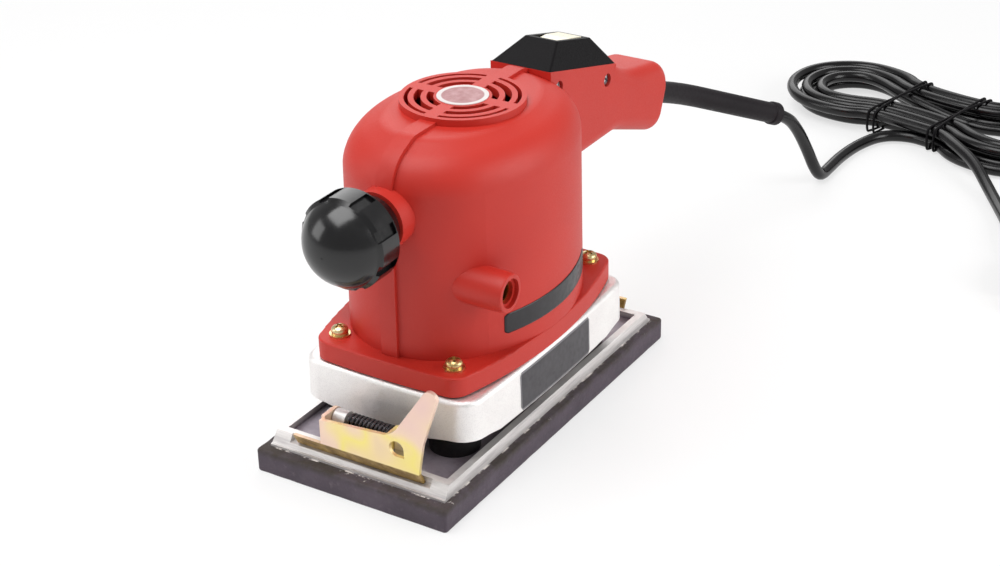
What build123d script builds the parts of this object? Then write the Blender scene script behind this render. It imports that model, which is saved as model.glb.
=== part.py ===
from build123d import *
import math
import os

# Orbital sheet sander. Millimetres, +Z up, -Y is the front with the knob, +Y the rear with the handle.
# The origin lies on the working face of the pad, under the motor axis.

# General fits
fit_clearance = 0.05
part_clearance = 0.3
shaft_room = 1.5
running_clearance = 0.06
wall = 3.0

# Sanding pad and platen tray
pad_width = 100.0
pad_ledge = 5.5
pad_thickness = 11.2
pad_corner_radius = 1.5
foot_width = 92.0
foot_reach = 22.8
rail_height = 6.2
rail_draft = 5.0
rail_width = 3.4
tray_floor = 3.0
end_wall_width = 3.0
end_wall_inset = 5.6
end_slope_foot = 1.2
end_foot_lip = 1.0
end_wall_crest = 0.8
groove_depth = 2.9
groove_half_width = 37.0
hub_radius = 17.5
hub_floor_gap = 1.2
hub_dish_depth = 1.0
orbit_radius = 1.2
orbit_angle = 135.0

# Paper clamps
clamp_sheet = 1.8
clamp_plate_gap = 3.4
plate_right = 33.1
plate_left_height = 12.0
plate_right_height = 15.0
jaw_left = 33.2
jaw_bottom_gap = 0.7
jaw_height = 5.8
lever_root_x = 16.0
lever_throat = (23.8, 21.8)
lever_foot = (35.6, 15.1)
lever_tip = (40.0, 39.2)
lever_tip_radius = 3.6
lever_bend = (20.5, 17.7)
lever_window = (22.0, 9.8)
lever_window_radius = 3.8
lug_width = 6.4
lug_depth = 8.0
lug_left_x = -12.9
lug_right_x = 20.0
pin_radius = 2.0
pin_height = 15.5
pin_setback = 5.0
pin_head_radius = 3.2
pin_head_height = 1.5
ear_radius = 4.4
spring_turns = 11
spring_wire_radius = 0.7
spring_end_gap = 0.5
spring_pin_gap = 0.5

# Rubber posts between platen and base housing
post_x = 27.0
post_y = 55.0
post_foot_radius = 11.5
post_foot_height = 8.0
post_neck_radius = 8.0
post_height = 18.0
post_edge_radius = 1.5
post_screw_radius = 2.0
post_screw_reach = 9.0
post_screw_room = 1.8

# Base housing
base_gap = 12.8
base_height = 22.0
base_half_width = 47.0
base_half_length = 70.2
base_corner_x = 44.6
base_corner_y = 69.5
base_corner_radius = 10.0
base_draft = 1.0
base_top_radius = 2.4
base_foot_radius = 0.8
base_wall = 3.2
base_top_plate = 4.0
arch_radius = 24.0
arch_rise = 3.0

# Flange and gasket
gasket_thickness = 1.0
gasket_inset = 1.2
flange_thickness = 9.1
flange_half_width = 47.5
flange_half_length = 69.5
flange_corner_x = 37.0
flange_corner_y = 67.8
flange_corner_radius = 8.5
flange_edge_radius = 0.8
flange_screw_x = 30.0
flange_screw_y = 58.7
flange_screw_radius = 2.0
flange_screw_length = 16.0
screw_head_radius = 3.9
screw_head_height = 2.8
screw_crown_radius = 1.4
screw_boss_radius = 4.6
screw_tip_room = 2.0
spring_washer_radius = 3.7
spring_washer_thickness = 1.1
washer_split = 0.6
washer_split_angle = 20.0
flat_washer_radius = 4.8
flat_washer_thickness = 0.9

# Bell of the motor housing
bell_half_width = 47.8
bell_half_length = 62.5
bell_end_radius = 42.5
bell_draft = 0.6
bell_wall_height = 87.0
crown_height = 8.4
crown_slope = 25.0
shoulder_radius = 18.0
crown_radius = 9.0
band_width = 8.2
band_rise = 1.5
wire_hole_width = 16.0
wire_hole_height = 12.0

# Vent grille in the crown
vent_radius = 28.0
vent_rise = 3.2
vent_depth = 4.0
rim_width = 2.2
spoke_width = 6.5
hub_outer_radius = 12.8
ring_width = 2.5
ring_gap = 3.1
badge_radius = 11.5
badge_thickness = 1.0
badge_rise = 0.3

# Bosses for the knob and the side handle
boss_mouth_radius = 8.4
boss_root_radius = 9.0
boss_round_length = 7.0
boss_lip_radius = 0.7
boss_recess_radius = 6.6
boss_recess_depth = 2.0
boss_lip_depth = 2.0
thread_radius = 4.25
thread_clear_radius = 5.1
insert_radius = 6.4
insert_length = 14.0
thread_tip_room = 2.0
side_boss_reach = 50.0
side_boss_y = -44.0
side_boss_z = 90.5
front_boss_radius = 13.5
front_boss_reach = 68.5
knob_z = 122.3

# Front knob
knob_radius = 20.5
knob_grip_length = 14.4
knob_dome_height = 12.5
knob_neck_radius = 13.0
knob_neck_length = 11.3
knob_groove_count = 8
knob_groove_width = 5.0
knob_groove_depth = 1.3
knob_rim_width = 1.8
knob_foot_radius = 10.0
knob_foot_height = 1.5
knob_neck_flare = 1.0
knob_shoulder_height = 3.0
knob_shoulder_inset = 1.5
knob_edge_height = 1.2
knob_edge = 1.8
stud_length = 15.5
stud_grip = 14.0

# Rear handle
handle_half_width = 16.0
handle_wall = 4.0
handle_edge_radius = 7.0
seat_front_y = 48.5
seat_front_z = 151.6
seat_slope = 14.9
seat_length = 64.0
neck_bottom_z = 98.3
neck_rear_y = 114.0
nape_run = 17.65
grip_rise = 10.44
grip_top = (173.6, 116.4)
grip_bottom = (159.3, 81.4)
neck_radius = 25.0
grip_bottom_radius = 10.5
grip_top_radius = 14.0
nape_radius = 40.0
seat_rear_radius = 60.0
grip_crown_radius = 14.5
handle_screw_front = 9.8
handle_screw_rear = 57.0
handle_screw_drop = 7.6
handle_screw_radius = 1.75
handle_screw_head_radius = 3.2
handle_screw_head_height = 2.2
handle_screw_sink = 0.6
handle_screw_crown = 0.9
handle_post_radius = 4.4

# Switch under the hipped cover
cover_base_width = 31.0
cover_top_width = 17.4
cover_top_length = 32.0
cover_height = 12.0
cover_wall = 2.0
cover_edge_radius = 1.2
rocker_width = 12.4
rocker_length = 24.0
rocker_clearance = 0.8
rocker_pivot_depth = 4.5
rocker_rise = -1.0
rocker_tilt = 7.0
rocker_foot = 2.2
rocker_foot_half = 3.0
rocker_dip = 0.1
rocker_end_inset = 1.5
rocker_end_rise = 1.0
trunnion_radius = 1.2
trunnion_ear_radius = 2.1
trunnion_ear_width = 0.9
trunnion_ear_root = 2.5
switch_length = 26.0
switch_height = 14.0
switch_gap = 2.0
switch_opening_play = 1.0
tab_thickness = 0.8
tab_width = 5.0
tab_length = 6.0
tab_spacing = 16.0

# Motor
shaft_radius = 6.0
shaft_top_radius = 4.0
eccentric_pin_radius = 5.0
stator_radius = 39.5
stator_bore_radius = 22.4
stator_height = 40.0
stator_base_gap = 10.0
air_gap = 0.5
winding_height = 9.0
winding_inner_radius = 24.5
winding_outer_radius = 33.0
winding_edge_radius = 2.5
slot_count = 12
slot_width = 3.2
slot_floor = 1.0
end_ring_height = 3.0
end_ring_step = 2.5
stator_screw_circle = 36.8
stator_screw_radius = 1.75
stator_screw_head_radius = 3.0
stator_screw_head_height = 2.5
stator_screw_grip = 10.0
stator_screw_room = 2.0
rib_width = 9.0
rib_overlap = 6.0
rib_reach = 40.0
fan_radius = 33.0
fan_blade_count = 9
fan_blade_height = 11.0
fan_blade_thickness = 1.8
fan_plate_thickness = 2.0
fan_hub_radius = 9.0
fan_gap = 6.0
fan_hub_height = 9.7
fan_rim_room = 2.0
fan_face_room = 3.0
weight_radius = 24.0
weight_height = 8.0
weight_hub_radius = 11.0
weight_gap = 0.8
top_bearing_radius = 11.0
top_bearing_width = 7.0
low_bearing_radius = 14.0
low_bearing_width = 8.0
eccentric_bearing_radius = 13.0
eccentric_bearing_width = 8.0
eccentric_shoulder_gap = 2.5
eccentric_pin_reach = 0.5
bearing_ring_share = 0.3
bearing_shield = 0.8
bearing_shield_inset = 0.3
bearing_seat_wall = 3.5
bearing_floor = 2.0
shaft_end_reach = 1.0

# Wiring inside the handle
capacitor_radius = 9.5
capacitor_length = 30.0
capacitor_start = (113.0, 115.0)
capacitor_slope = 18.5
capacitor_edge_radius = 0.8
cradle_thickness = 3.0
terminal_width = 18.0
terminal_length = 14.0
terminal_height = 9.0
terminal_hole_radius = 1.6
terminal_hole_depth = 4.0
terminal_pitch = 5.6
cord_clamp_width = 20.0
cord_clamp_thickness = 3.0
cord_clamp_length = 8.0
cord_clamp_screw_spacing = 15.0
cord_clamp_screw_radius = 1.4
cord_clamp_head_radius = 2.6
cord_clamp_head_height = 1.6
cord_clamp_post_radius = 3.2
cord_clamp_screw_bite = 5.0

# Cord
cord_radius = 3.4
bend_share = 0.45
relief_radius = 5.7
relief_bead_radius = 6.4
relief_bead_length = 6.0
relief_bead_edge = 1.2
relief_route = [(0, 152, 101.8), (0, 200, 86.4), (30, 271.6, 53.3)]
relief_exit = 8.0
lead_route = [(35.6, 288.0, 40.0), (38.4, 297.8, 24.0), (41.5, 303.0, 10.6), (43.0, 309.0, 3.9),
              (42.6, 321.0, 3.6), (42.0, 341.0, 3.6), (44.5, 362.0, 3.8), (51.5, 380.5, 4.2)]
tail_route = [(103.2, 372.4, 12.0), (118.2, 356.0, 10.0), (132.5, 338.0, 5.0),
              (145.5, 319.0, 3.6), (156.7, 299.8, 4.4), (166.6, 280.8, 6.8)]
hank_centre = (69.5, 416.0)
hank_turn = -12.0
hank_layer_z = 4.4
hank_layer_step = 7.6
hank_loops = 3
hank_track_step = 9.0
hank_outer_track = 40.0
hank_draw_in = 11.2
hank_waist_half = 24.0
hank_run_half = 56.0
hank_start_x = 18.0
hank_end_x = 10.0
hank_exit = 15.0
tie_thickness = 0.7
tie_width = 3.0
tie_gap = 0.25

# Plug
plug_heading = -62.5
plug_entry_run = 21.0
plug_length = 36.0
plug_width = 26.0
plug_thickness = 13.6
plug_neck_radius = 5.0
plug_neck_corner = 4.5
plug_grip_length = 21.6
plug_corner = 4.8
plug_pin_radius = 2.0
plug_pin_length = 19.0
plug_pin_socket = 8.0
plug_pin_edge = 1.2
plug_pin_spacing = 18.6

# Lengths and levels, worked out from the sizes above
foot_length = 2 * (base_half_length + foot_reach)
pad_length = foot_length + 2 * pad_ledge
platen_z = pad_thickness
tray_z = platen_z + tray_floor
rail_z = platen_z + rail_height
base_z = platen_z + base_gap
base_top_z = base_z + base_height
flange_z = base_top_z + gasket_thickness
bell_z = flange_z + flange_thickness
crease_z = bell_z + bell_wall_height
crown_z = crease_z + crown_height
vent_z = crown_z + vent_rise
stator_z = bell_z + stator_base_gap
stator_top_z = stator_z + stator_height
fan_z = stator_top_z + winding_height + fan_gap
top_bearing_z = vent_z - vent_depth - top_bearing_width - bearing_floor
low_bearing_z = base_top_z - low_bearing_width
eccentric_bearing_z = tray_z + hub_floor_gap
shaft_step_z = eccentric_bearing_z + eccentric_bearing_width + eccentric_shoulder_gap
weight_z = shaft_step_z + weight_gap
pin_z = tray_z + pin_height
end_wall_y = foot_length / 2 - end_wall_inset
pin_y = end_wall_y - pin_setback
seat_run = (0, math.cos(math.radians(seat_slope)), -math.sin(math.radians(seat_slope)))
seat_up = (0, math.sin(math.radians(seat_slope)), math.cos(math.radians(seat_slope)))
orbit_x = orbit_radius * math.cos(math.radians(orbit_angle))
orbit_y = orbit_radius * math.sin(math.radians(orbit_angle))
seat = Plane(origin=(0, seat_front_y, seat_front_z), x_dir=seat_run, z_dir=seat_up)
seat_rear = seat.from_local_coords((seat_length, 0, 0))
nape_y = seat_rear.Y + nape_run
nape = (nape_y, grip_top[1] + (grip_top[0] - nape_y) * math.tan(math.radians(grip_rise)))
grip_end_y = (grip_top[0] + grip_bottom[0]) / 2
grip_end_z = (grip_top[1] + grip_bottom[1]) / 2
grip_slope = math.degrees(math.atan2(grip_top[0] - grip_bottom[0], grip_top[1] - grip_bottom[1]))
grip_run = (0, math.cos(math.radians(grip_slope)), -math.sin(math.radians(grip_slope)))
ear_offset = lug_width / 2 + part_clearance + clamp_sheet / 2
plate_left = lug_left_x - ear_offset - clamp_sheet / 2
trunnion_ear_inner = rocker_width / 2 + part_clearance
switch_width = 2 * trunnion_ear_inner


def cylinder(radius, height, z=0.0, x=0.0, y=0.0):
    """Upright cylinder standing on height z."""
    return Pos(x, y, z) * Cylinder(radius, height, align=(Align.CENTER, Align.CENTER, Align.MIN))


def ring(outer, inner, height, z=0.0):
    """Upright ring standing on height z."""
    return cylinder(outer, height, z) - cylinder(inner, height, z)


def block(size_x, size_y, size_z, x=0.0, y=0.0, z=0.0):
    """Box centred on x and y, standing on height z."""
    return Pos(x, y, z) * Box(size_x, size_y, size_z, align=(Align.CENTER, Align.CENTER, Align.MIN))


def four_corners(x, y):
    """The four mirrored places of a pattern."""
    return [(sx * x, sy * y) for sx in (-1, 1) for sy in (-1, 1)]


def oval(half_width, half_length, end_radius):
    """Oval of four tangent arcs, long axis along Y."""
    rise = half_length - end_radius
    side_radius = (half_width**2 + rise**2 - end_radius**2) / (2 * (half_width - end_radius))
    run = side_radius - half_width
    span = math.hypot(run, rise)
    join_x = end_radius * run / span
    join_y = rise + end_radius * rise / span
    right = ThreePointArc((join_x, -join_y), (half_width, 0), (join_x, join_y))
    rear = ThreePointArc((join_x, join_y), (0, half_length), (-join_x, join_y))
    left = ThreePointArc((-join_x, join_y), (-half_width, 0), (-join_x, -join_y))
    front = ThreePointArc((-join_x, -join_y), (0, -half_length), (join_x, -join_y))
    return Face(Wire([right, rear, left, front]))


def barrel(half_width, half_length, corner_x, corner_y, corner_radius):
    """Rectangle with bowed sides and round corners."""
    right = ThreePointArc((corner_x, -corner_y), (half_width, 0), (corner_x, corner_y))
    rear = ThreePointArc((corner_x, corner_y), (0, half_length), (-corner_x, corner_y))
    left = ThreePointArc((-corner_x, corner_y), (-half_width, 0), (-corner_x, -corner_y))
    front = ThreePointArc((-corner_x, -corner_y), (0, -half_length), (corner_x, -corner_y))
    face = Face(Wire([right, rear, left, front]))
    return fillet(face.vertices(), corner_radius)


def flange_outline(grow=0.0):
    return barrel(flange_half_width + grow, flange_half_length + grow,
                  flange_corner_x + grow, flange_corner_y + grow, flange_corner_radius + grow)


def base_outline(grow=0.0):
    return barrel(base_half_width + grow, base_half_length + grow,
                  base_corner_x + grow, base_corner_y + grow, base_corner_radius + grow)


def bell_form(grow=0.0):
    """Drafted oval wall with a round shoulder and a sloping crown, grown or shrunk on all sides."""
    foot = oval(bell_half_width + grow, bell_half_length + grow, bell_end_radius + grow)
    wall_height = bell_wall_height + grow
    body = Pos(0, 0, bell_z) * extrude(foot, wall_height, taper=bell_draft)
    lid = body.faces().sort_by(Axis.Z)[-1]
    body += extrude(lid, crown_height, taper=90 - crown_slope)
    crease = [e for e in body.edges() if abs(e.center().Z - bell_z - wall_height) < 0.01
              and e.bounding_box().size.Z < 0.01]
    body = fillet(crease, shoulder_radius + grow)
    crown_edge = body.faces().sort_by(Axis.Z)[-1].edges()
    return fillet(crown_edge, crown_radius + grow)


def handle_profile():
    """Side outline of the handle, in Y and Z, from its root under the bell round the grip to the seat."""
    points = [(seat_front_y, neck_bottom_z), (neck_rear_y, neck_bottom_z), grip_bottom, grip_top, nape,
              (seat_rear.Y, seat_rear.Z), (seat_front_y, seat_front_z)]
    radii = [neck_radius, grip_bottom_radius, grip_top_radius, nape_radius, seat_rear_radius]
    outline = FilletPolyline(*points, radius=radii)
    return Face(Wire(outline.edges() + [Line(points[-1], points[0])]))


def grip_plane(distance):
    """Section plane of the grip, a distance back from its end."""
    end = Vector(0, grip_end_y, grip_end_z)
    return Plane(origin=end - Vector(*grip_run) * distance, x_dir=(1, 0, 0), z_dir=grip_run)


def handle_form():
    """Whole handle, solid: rounded along its outline, square under the switch cover."""
    body = extrude(Plane.YZ * handle_profile(), handle_half_width, both=True)
    rims = [e for e in body.edges() if e.bounding_box().size.X < 0.01 and e.center().Y > seat_front_y + 0.1]
    body = fillet(rims, handle_edge_radius)
    pedestal = Pos(seat_length / 2, 0, -handle_edge_radius / 2) * Box(
        seat_length, 2 * handle_half_width, handle_edge_radius)
    trim = Pos(0, seat_front_y + seat_length, seat_front_z) * Box(
        3 * handle_half_width, 2 * seat_length, 2 * seat_length)
    return body - grip_shoulders() + (seat * pedestal & trim)


def grip_shoulders():
    """What the crowned top leaves off the grip's upper edges."""
    run = Vector(0, grip_top[0] - nape[0], grip_top[1] - nape[1])
    start = Plane(origin=(0, nape[0], nape[1]), x_dir=(1, 0, 0), z_dir=run)
    depth = 4 * grip_crown_radius
    loaf = Pos(0, -depth / 2, 0) * RectangleRounded(2 * handle_half_width, depth, grip_crown_radius)
    around = Pos(0, -grip_crown_radius / 2, 0) * Rectangle(3 * handle_half_width, grip_crown_radius)
    upper = around - loaf
    return extrude(start * upper, 2 * run.length) + extrude(start * upper, -run.length / 3)


def handle_hollow():
    """Room inside the handle for switch, capacitor and cord."""
    room = offset(handle_profile(), -handle_wall, kind=Kind.INTERSECTION)
    inner = extrude(Plane.YZ * room, handle_half_width - handle_wall, both=True)
    return inner + sweep_tube(relief_route, relief_radius + fit_clearance)


def handle_screw_places():
    """Y and Z of the two handle screws, below the sloping seat."""
    places = []
    for run in (handle_screw_front, handle_screw_rear):
        point = seat.from_local_coords((run, 0, -handle_screw_drop))
        places.append((point.Y, point.Z))
    return places


def handle_screw_hole(y, z):
    """Clearance hole with a sunk head seat, along X."""
    depth = handle_screw_sink + handle_screw_head_height
    head = cylinder(handle_screw_head_radius + fit_clearance, depth)
    shank = cylinder(handle_screw_radius + fit_clearance, 2 * handle_half_width - wall)
    return Pos(handle_half_width, y, z) * Rot(0, -90, 0) * (head + shank)


def handle_post(y, z):
    """Screw post across the handle."""
    return Pos(0, y, z) * Rot(0, 90, 0) * Cylinder(handle_post_radius, 2 * handle_half_width - wall)


def half_space(side):
    """Everything on one side of the middle plane: +1 right, -1 left."""
    reach = grip_top[0]
    return Pos(side * reach / 2, 0, 0) * Box(reach, 4 * reach, 4 * reach)


def cover_opening():
    """Opening in the handle's seat under the switch cover."""
    return seat * Pos(seat_length / 2, 0, 0) * Box(
        switch_length + switch_opening_play, switch_width + switch_opening_play, 4 * wall)


def side_boss(side):
    """Round boss on the bell's side, drawn in towards its mouth; axis along X."""
    length = side_boss_reach - boss_root_radius
    shoulder = TangentArc((boss_root_radius, boss_round_length), (boss_mouth_radius, 0), tangent=(0, -1))
    outline = Polyline((boss_mouth_radius, 0), (0, 0), (0, length), (boss_root_radius, length),
                       (boss_root_radius, boss_round_length))
    body = revolve(Plane.XZ * Face(Wire([shoulder] + outline.edges())), Axis.Z)
    body = fillet(body.edges().group_by(Axis.Z)[0], boss_lip_radius)
    place = Pos(side * side_boss_reach, side_boss_y, side_boss_z) * Rot(0, -90 * side, 0)
    return place * body


def thread_room(place):
    """Recess, lip hole, insert seat and tip room of a boss, from its mouth inwards."""
    recess = cylinder(boss_recess_radius, boss_recess_depth)
    start = boss_recess_depth + boss_lip_depth
    seat_room = cylinder(insert_radius + fit_clearance, insert_length, start)
    bore = cylinder(thread_clear_radius, start + insert_length + thread_tip_room)
    return place * (recess + seat_room + bore)


def insert_sleeve(place):
    """Threaded bush seated behind the lip."""
    return place * ring(insert_radius, thread_radius, insert_length, boss_recess_depth + boss_lip_depth)


def boss_places():
    """Mouth planes of the front, right and left bosses, Z pointing inwards."""
    front = Pos(0, -front_boss_reach, knob_z) * Rot(-90, 0, 0)
    right = Pos(side_boss_reach, side_boss_y, side_boss_z) * Rot(0, -90, 0)
    left = Pos(-side_boss_reach, side_boss_y, side_boss_z) * Rot(0, 90, 0)
    return [front, right, left]


def boss_sleeves():
    """Plastic round the inserts, where the bosses reach into the bell."""
    depth = boss_recess_depth + boss_lip_depth + insert_length + thread_tip_room + wall / 2
    return [place * cylinder(insert_radius + wall, depth) for place in boss_places()]


def grille():
    """Rim, rings, spokes and bearing hub of the vent."""
    low = vent_z - vent_depth
    parts = ring(vent_radius, vent_radius - rim_width, vent_z - crown_z + wall, crown_z - wall)
    inner = hub_outer_radius + ring_gap
    for _ in range(2):
        parts += ring(inner + ring_width, inner, vent_depth, low)
        inner += ring_width + ring_gap
    parts += block(spoke_width, 2 * vent_radius - rim_width, vent_depth, 0, 0, low)
    parts += block(2 * vent_radius - rim_width, spoke_width, vent_depth, 0, 0, low)
    parts += cylinder(hub_outer_radius, vent_z - top_bearing_z, top_bearing_z)
    parts -= cylinder(top_bearing_radius + fit_clearance, top_bearing_width, top_bearing_z)
    parts -= cylinder(shaft_top_radius + shaft_room, top_bearing_width + bearing_floor, top_bearing_z)
    badge_z = vent_z + badge_rise - badge_thickness
    return parts - cylinder(badge_radius + fit_clearance, badge_thickness, badge_z)


def stator_ribs():
    """Ribs inside the bell that carry the stator at its rim and top face."""
    ribs = None
    for k in range(4):
        turn = Rot(0, 0, 45 + 90 * k)
        middle = stator_radius + rib_reach / 2
        tall = block(rib_reach, rib_width, crown_z - stator_z, middle + part_clearance / 2, 0, stator_z)
        shoulder = block(rib_reach, rib_width, crown_z - stator_top_z, middle - rib_overlap, 0, stator_top_z)
        rib = turn * (tall + shoulder)
        ribs = rib if ribs is None else ribs + rib
    clear = cylinder(fan_radius + fan_rim_room, crown_z - fan_z + fan_face_room, fan_z - fan_face_room)
    return (ribs - clear) & bell_form(-wall / 2)


def stator_screw_places():
    spot = stator_screw_circle * math.sqrt(0.5)
    return four_corners(spot, spot)


def motor_housing():
    """Bell with flange, vent, bosses and the left half of the handle."""
    bell = bell_form()
    plate = Pos(0, 0, flange_z) * extrude(flange_outline(), flange_thickness)
    plate = fillet(plate.edges().group_by(Axis.Z)[-1], flange_edge_radius)
    band_length = bell_half_length + seat_front_y + 2 * band_rise
    band = bell_form(band_rise) & block(band_width, band_length, 2 * crown_z, 0,
                                        seat_front_y - fit_clearance - band_length / 2, bell_z)
    boss_depth = front_boss_reach - bell_half_length + bell_end_radius / 2
    front_boss = boss_places()[0] * cylinder(front_boss_radius, boss_depth)
    left_handle = handle_form() & half_space(-1)
    outer = bell + plate + band + front_boss + side_boss(1) + side_boss(-1) + left_handle
    outer += cylinder(vent_radius, vent_rise, crown_z)
    hollow = bell_form(-wall)
    hollow += Pos(0, 0, flange_z) * extrude(
        oval(bell_half_width - wall, bell_half_length - wall, bell_end_radius - wall), flange_thickness)
    shell = outer - hollow
    shell -= cylinder(vent_radius - rim_width, vent_z, crown_z - 3 * wall)
    shell += grille()
    for sleeve in boss_sleeves():
        shell += sleeve & bell_form(-wall / 2)
    shell += stator_ribs()
    handle_room = handle_hollow() & half_space(-1)
    shell -= handle_room - bell_form(-wall)
    for y, z in handle_screw_places():
        shell += (handle_post(y, z) & half_space(-1)) - bell_form(-wall)
        shell -= handle_screw_hole(y, z)
    shell += capacitor_cradle() & half_space(-1)
    shell += cord_clamp_post(-1) & handle_form() & half_space(-1)
    shell -= cord_clamp_hole(-1)
    shell -= cover_opening()
    wire_hole_y = bell_half_length - 3 * wall
    shell -= block(wire_hole_width, 6 * wall, wire_hole_height, 0, wire_hole_y + 2 * wall,
                   neck_bottom_z + 2 * wall)
    for place in boss_places():
        shell -= thread_room(place)
    for x, y in four_corners(flange_screw_x, flange_screw_y):
        shell -= cylinder(flange_screw_radius + fit_clearance, flange_thickness, flange_z, x, y)
    for x, y in stator_screw_places():
        shell -= cylinder(stator_screw_radius + fit_clearance, stator_screw_grip + stator_screw_room,
                          stator_top_z, x, y)
    return shell.solids().sort_by(SortBy.VOLUME)[-1]


def handle_cover():
    """Right half of the handle, screwed to the left half."""
    bell = bell_form(fit_clearance)
    cover = (handle_form() & half_space(1)) - bell
    cover -= handle_hollow()
    for y, z in handle_screw_places():
        cover += (handle_post(y, z) & half_space(1)) - bell
        cover -= handle_screw_hole(y, z)
    cover += capacitor_cradle() & half_space(1)
    cover += cord_clamp_post(1) & handle_form() & half_space(1)
    cover -= cord_clamp_hole(1)
    cover -= cover_opening()
    return cover.solids().sort_by(SortBy.VOLUME)[-1]


def handle_screws():
    """Two sunk cross-head screws from the right."""
    screws = []
    for y, z in handle_screw_places():
        head_x = handle_half_width - handle_screw_sink
        place = Pos(head_x, y, z) * Rot(0, -90, 0)
        head = cylinder(handle_screw_head_radius, handle_screw_head_height)
        head = fillet(head.edges().group_by(Axis.Z)[0], handle_screw_crown)
        reach = 2 * handle_half_width - handle_screw_sink - 2 * wall
        shank = cylinder(handle_screw_radius, reach, handle_screw_head_height)
        screws.append(place * (head + shank))
    return screws


def switch_cover():
    """Hipped cover with an opening for the rocker."""
    outer = loft([seat * Pos(seat_length / 2, 0, 0) * Rectangle(seat_length, cover_base_width),
                  seat * Pos(seat_length / 2, 0, cover_height)
                  * Rectangle(cover_top_length, cover_top_width)],
                 ruled=True)
    hips = [e for e in outer.edges() if e.length < 0.999 * seat_length
            and abs(seat.to_local_coords(e).bounding_box().size.Z - cover_height) < 0.01]
    outer = fillet(hips, cover_edge_radius)
    drop = 2 * cover_wall
    middle = seat * Pos(seat_length / 2, 0, 0)
    inner = loft([middle * Rectangle(seat_length - 4 * drop, cover_base_width - 2 * drop),
                  middle * Pos(0, 0, cover_height - cover_wall)
                  * Rectangle(cover_top_length, cover_top_width - cover_wall)],
                 ruled=True)
    slot = seat * Pos(seat_length / 2, 0, cover_height) * Box(
        rocker_length + 2 * rocker_clearance, rocker_width + rocker_clearance, 3 * cover_wall)
    return outer - inner - slot


def rocker_pivot():
    return seat.from_local_coords((seat_length / 2, 0, cover_height - rocker_pivot_depth))


def switch_rocker():
    """Rocker with two pressing faces and two trunnions, tipped to its off side."""
    half = rocker_length / 2
    rise = rocker_pivot_depth + rocker_rise
    dip = rocker_pivot_depth + rocker_dip
    low = half - rocker_end_inset
    outline = Polyline((-half, rise), (0, dip), (half, rise), (low, rocker_end_rise),
                       (rocker_foot_half, -rocker_foot), (-rocker_foot_half, -rocker_foot),
                       (-low, rocker_end_rise), close=True)
    body = extrude(Plane.XZ * Face(Wire(outline.edges())), rocker_width / 2, both=True)
    body += Rot(90, 0, 0) * Cylinder(trunnion_radius, 2 * (trunnion_ear_inner + trunnion_ear_width))
    pivot_plane = Plane(origin=rocker_pivot(), x_dir=seat_run, z_dir=seat_up)
    return pivot_plane * Rot(0, -rocker_tilt, 0) * body


def switch_body():
    """Switch module hung under the cover, with two ears for the rocker's trunnions."""
    pivot = cover_height - rocker_pivot_depth
    top = pivot - rocker_foot - switch_gap
    bottom = top - switch_height
    body = block(switch_length, switch_width, switch_height, seat_length / 2, 0, bottom)
    for side in (-1, 1):
        tab_x = seat_length / 2 + side * tab_spacing / 2
        body += block(tab_thickness, tab_width, tab_length, tab_x, 0, bottom - tab_length)
        ear_y = side * (trunnion_ear_inner + trunnion_ear_width / 2)
        body += block(2 * trunnion_ear_radius, trunnion_ear_width, pivot - top + trunnion_ear_root,
                      seat_length / 2, ear_y, top - trunnion_ear_root)
        body += Pos(seat_length / 2, ear_y, pivot) * Rot(90, 0, 0) * Cylinder(
            trunnion_ear_radius, trunnion_ear_width)
    body -= Pos(seat_length / 2, 0, pivot) * Rot(90, 0, 0) * Cylinder(
        trunnion_radius + running_clearance, 2 * switch_width)
    return seat * body


def front_knob():
    """Ball-ended grip knob with grooves open to its front; axis along Y."""
    back = knob_neck_length
    front = back + knob_grip_length
    profile = [(knob_foot_radius, 0), (knob_neck_radius, knob_foot_height),
               (knob_neck_radius + knob_neck_flare, back - knob_shoulder_height),
               (knob_radius - knob_shoulder_inset, back), (knob_radius, back + knob_edge_height),
               (knob_radius, front - knob_edge), (knob_radius - knob_edge, front)]
    edges = [Line((0, 0), profile[0])]
    edges += [Line(a, b) for a, b in zip(profile, profile[1:])]
    crown = front + knob_dome_height
    rim = profile[-1][0]
    dome_radius = (rim**2 + knob_dome_height**2) / (2 * knob_dome_height)
    half_turn = math.asin(rim / dome_radius) / 2
    middle = (dome_radius * math.sin(half_turn), crown - dome_radius * (1 - math.cos(half_turn)))
    edges.append(ThreePointArc(profile[-1], middle, (0, crown)))
    edges.append(Line((0, crown), (0, 0)))
    body = revolve(Plane.XZ * Face(Wire(edges)), Axis.Z)
    for k in range(knob_groove_count):
        groove = block(2 * knob_groove_depth, knob_groove_width, knob_grip_length - knob_rim_width,
                       knob_radius, 0, back + knob_rim_width)
        body -= Rot(0, 0, 360 / knob_groove_count * (k + 0.5)) * groove
    body -= cylinder(thread_radius - running_clearance + fit_clearance, stud_grip)
    return knob_place() * body


def knob_place():
    """Seat of the knob on the front boss, Z pointing out to the front."""
    return Pos(0, -front_boss_reach - part_clearance, knob_z) * Rot(90, 0, 0)


def knob_stud():
    """Stud held in the knob and screwed into the boss."""
    return knob_place() * cylinder(thread_radius - running_clearance, stud_length + stud_grip, -stud_length)


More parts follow.
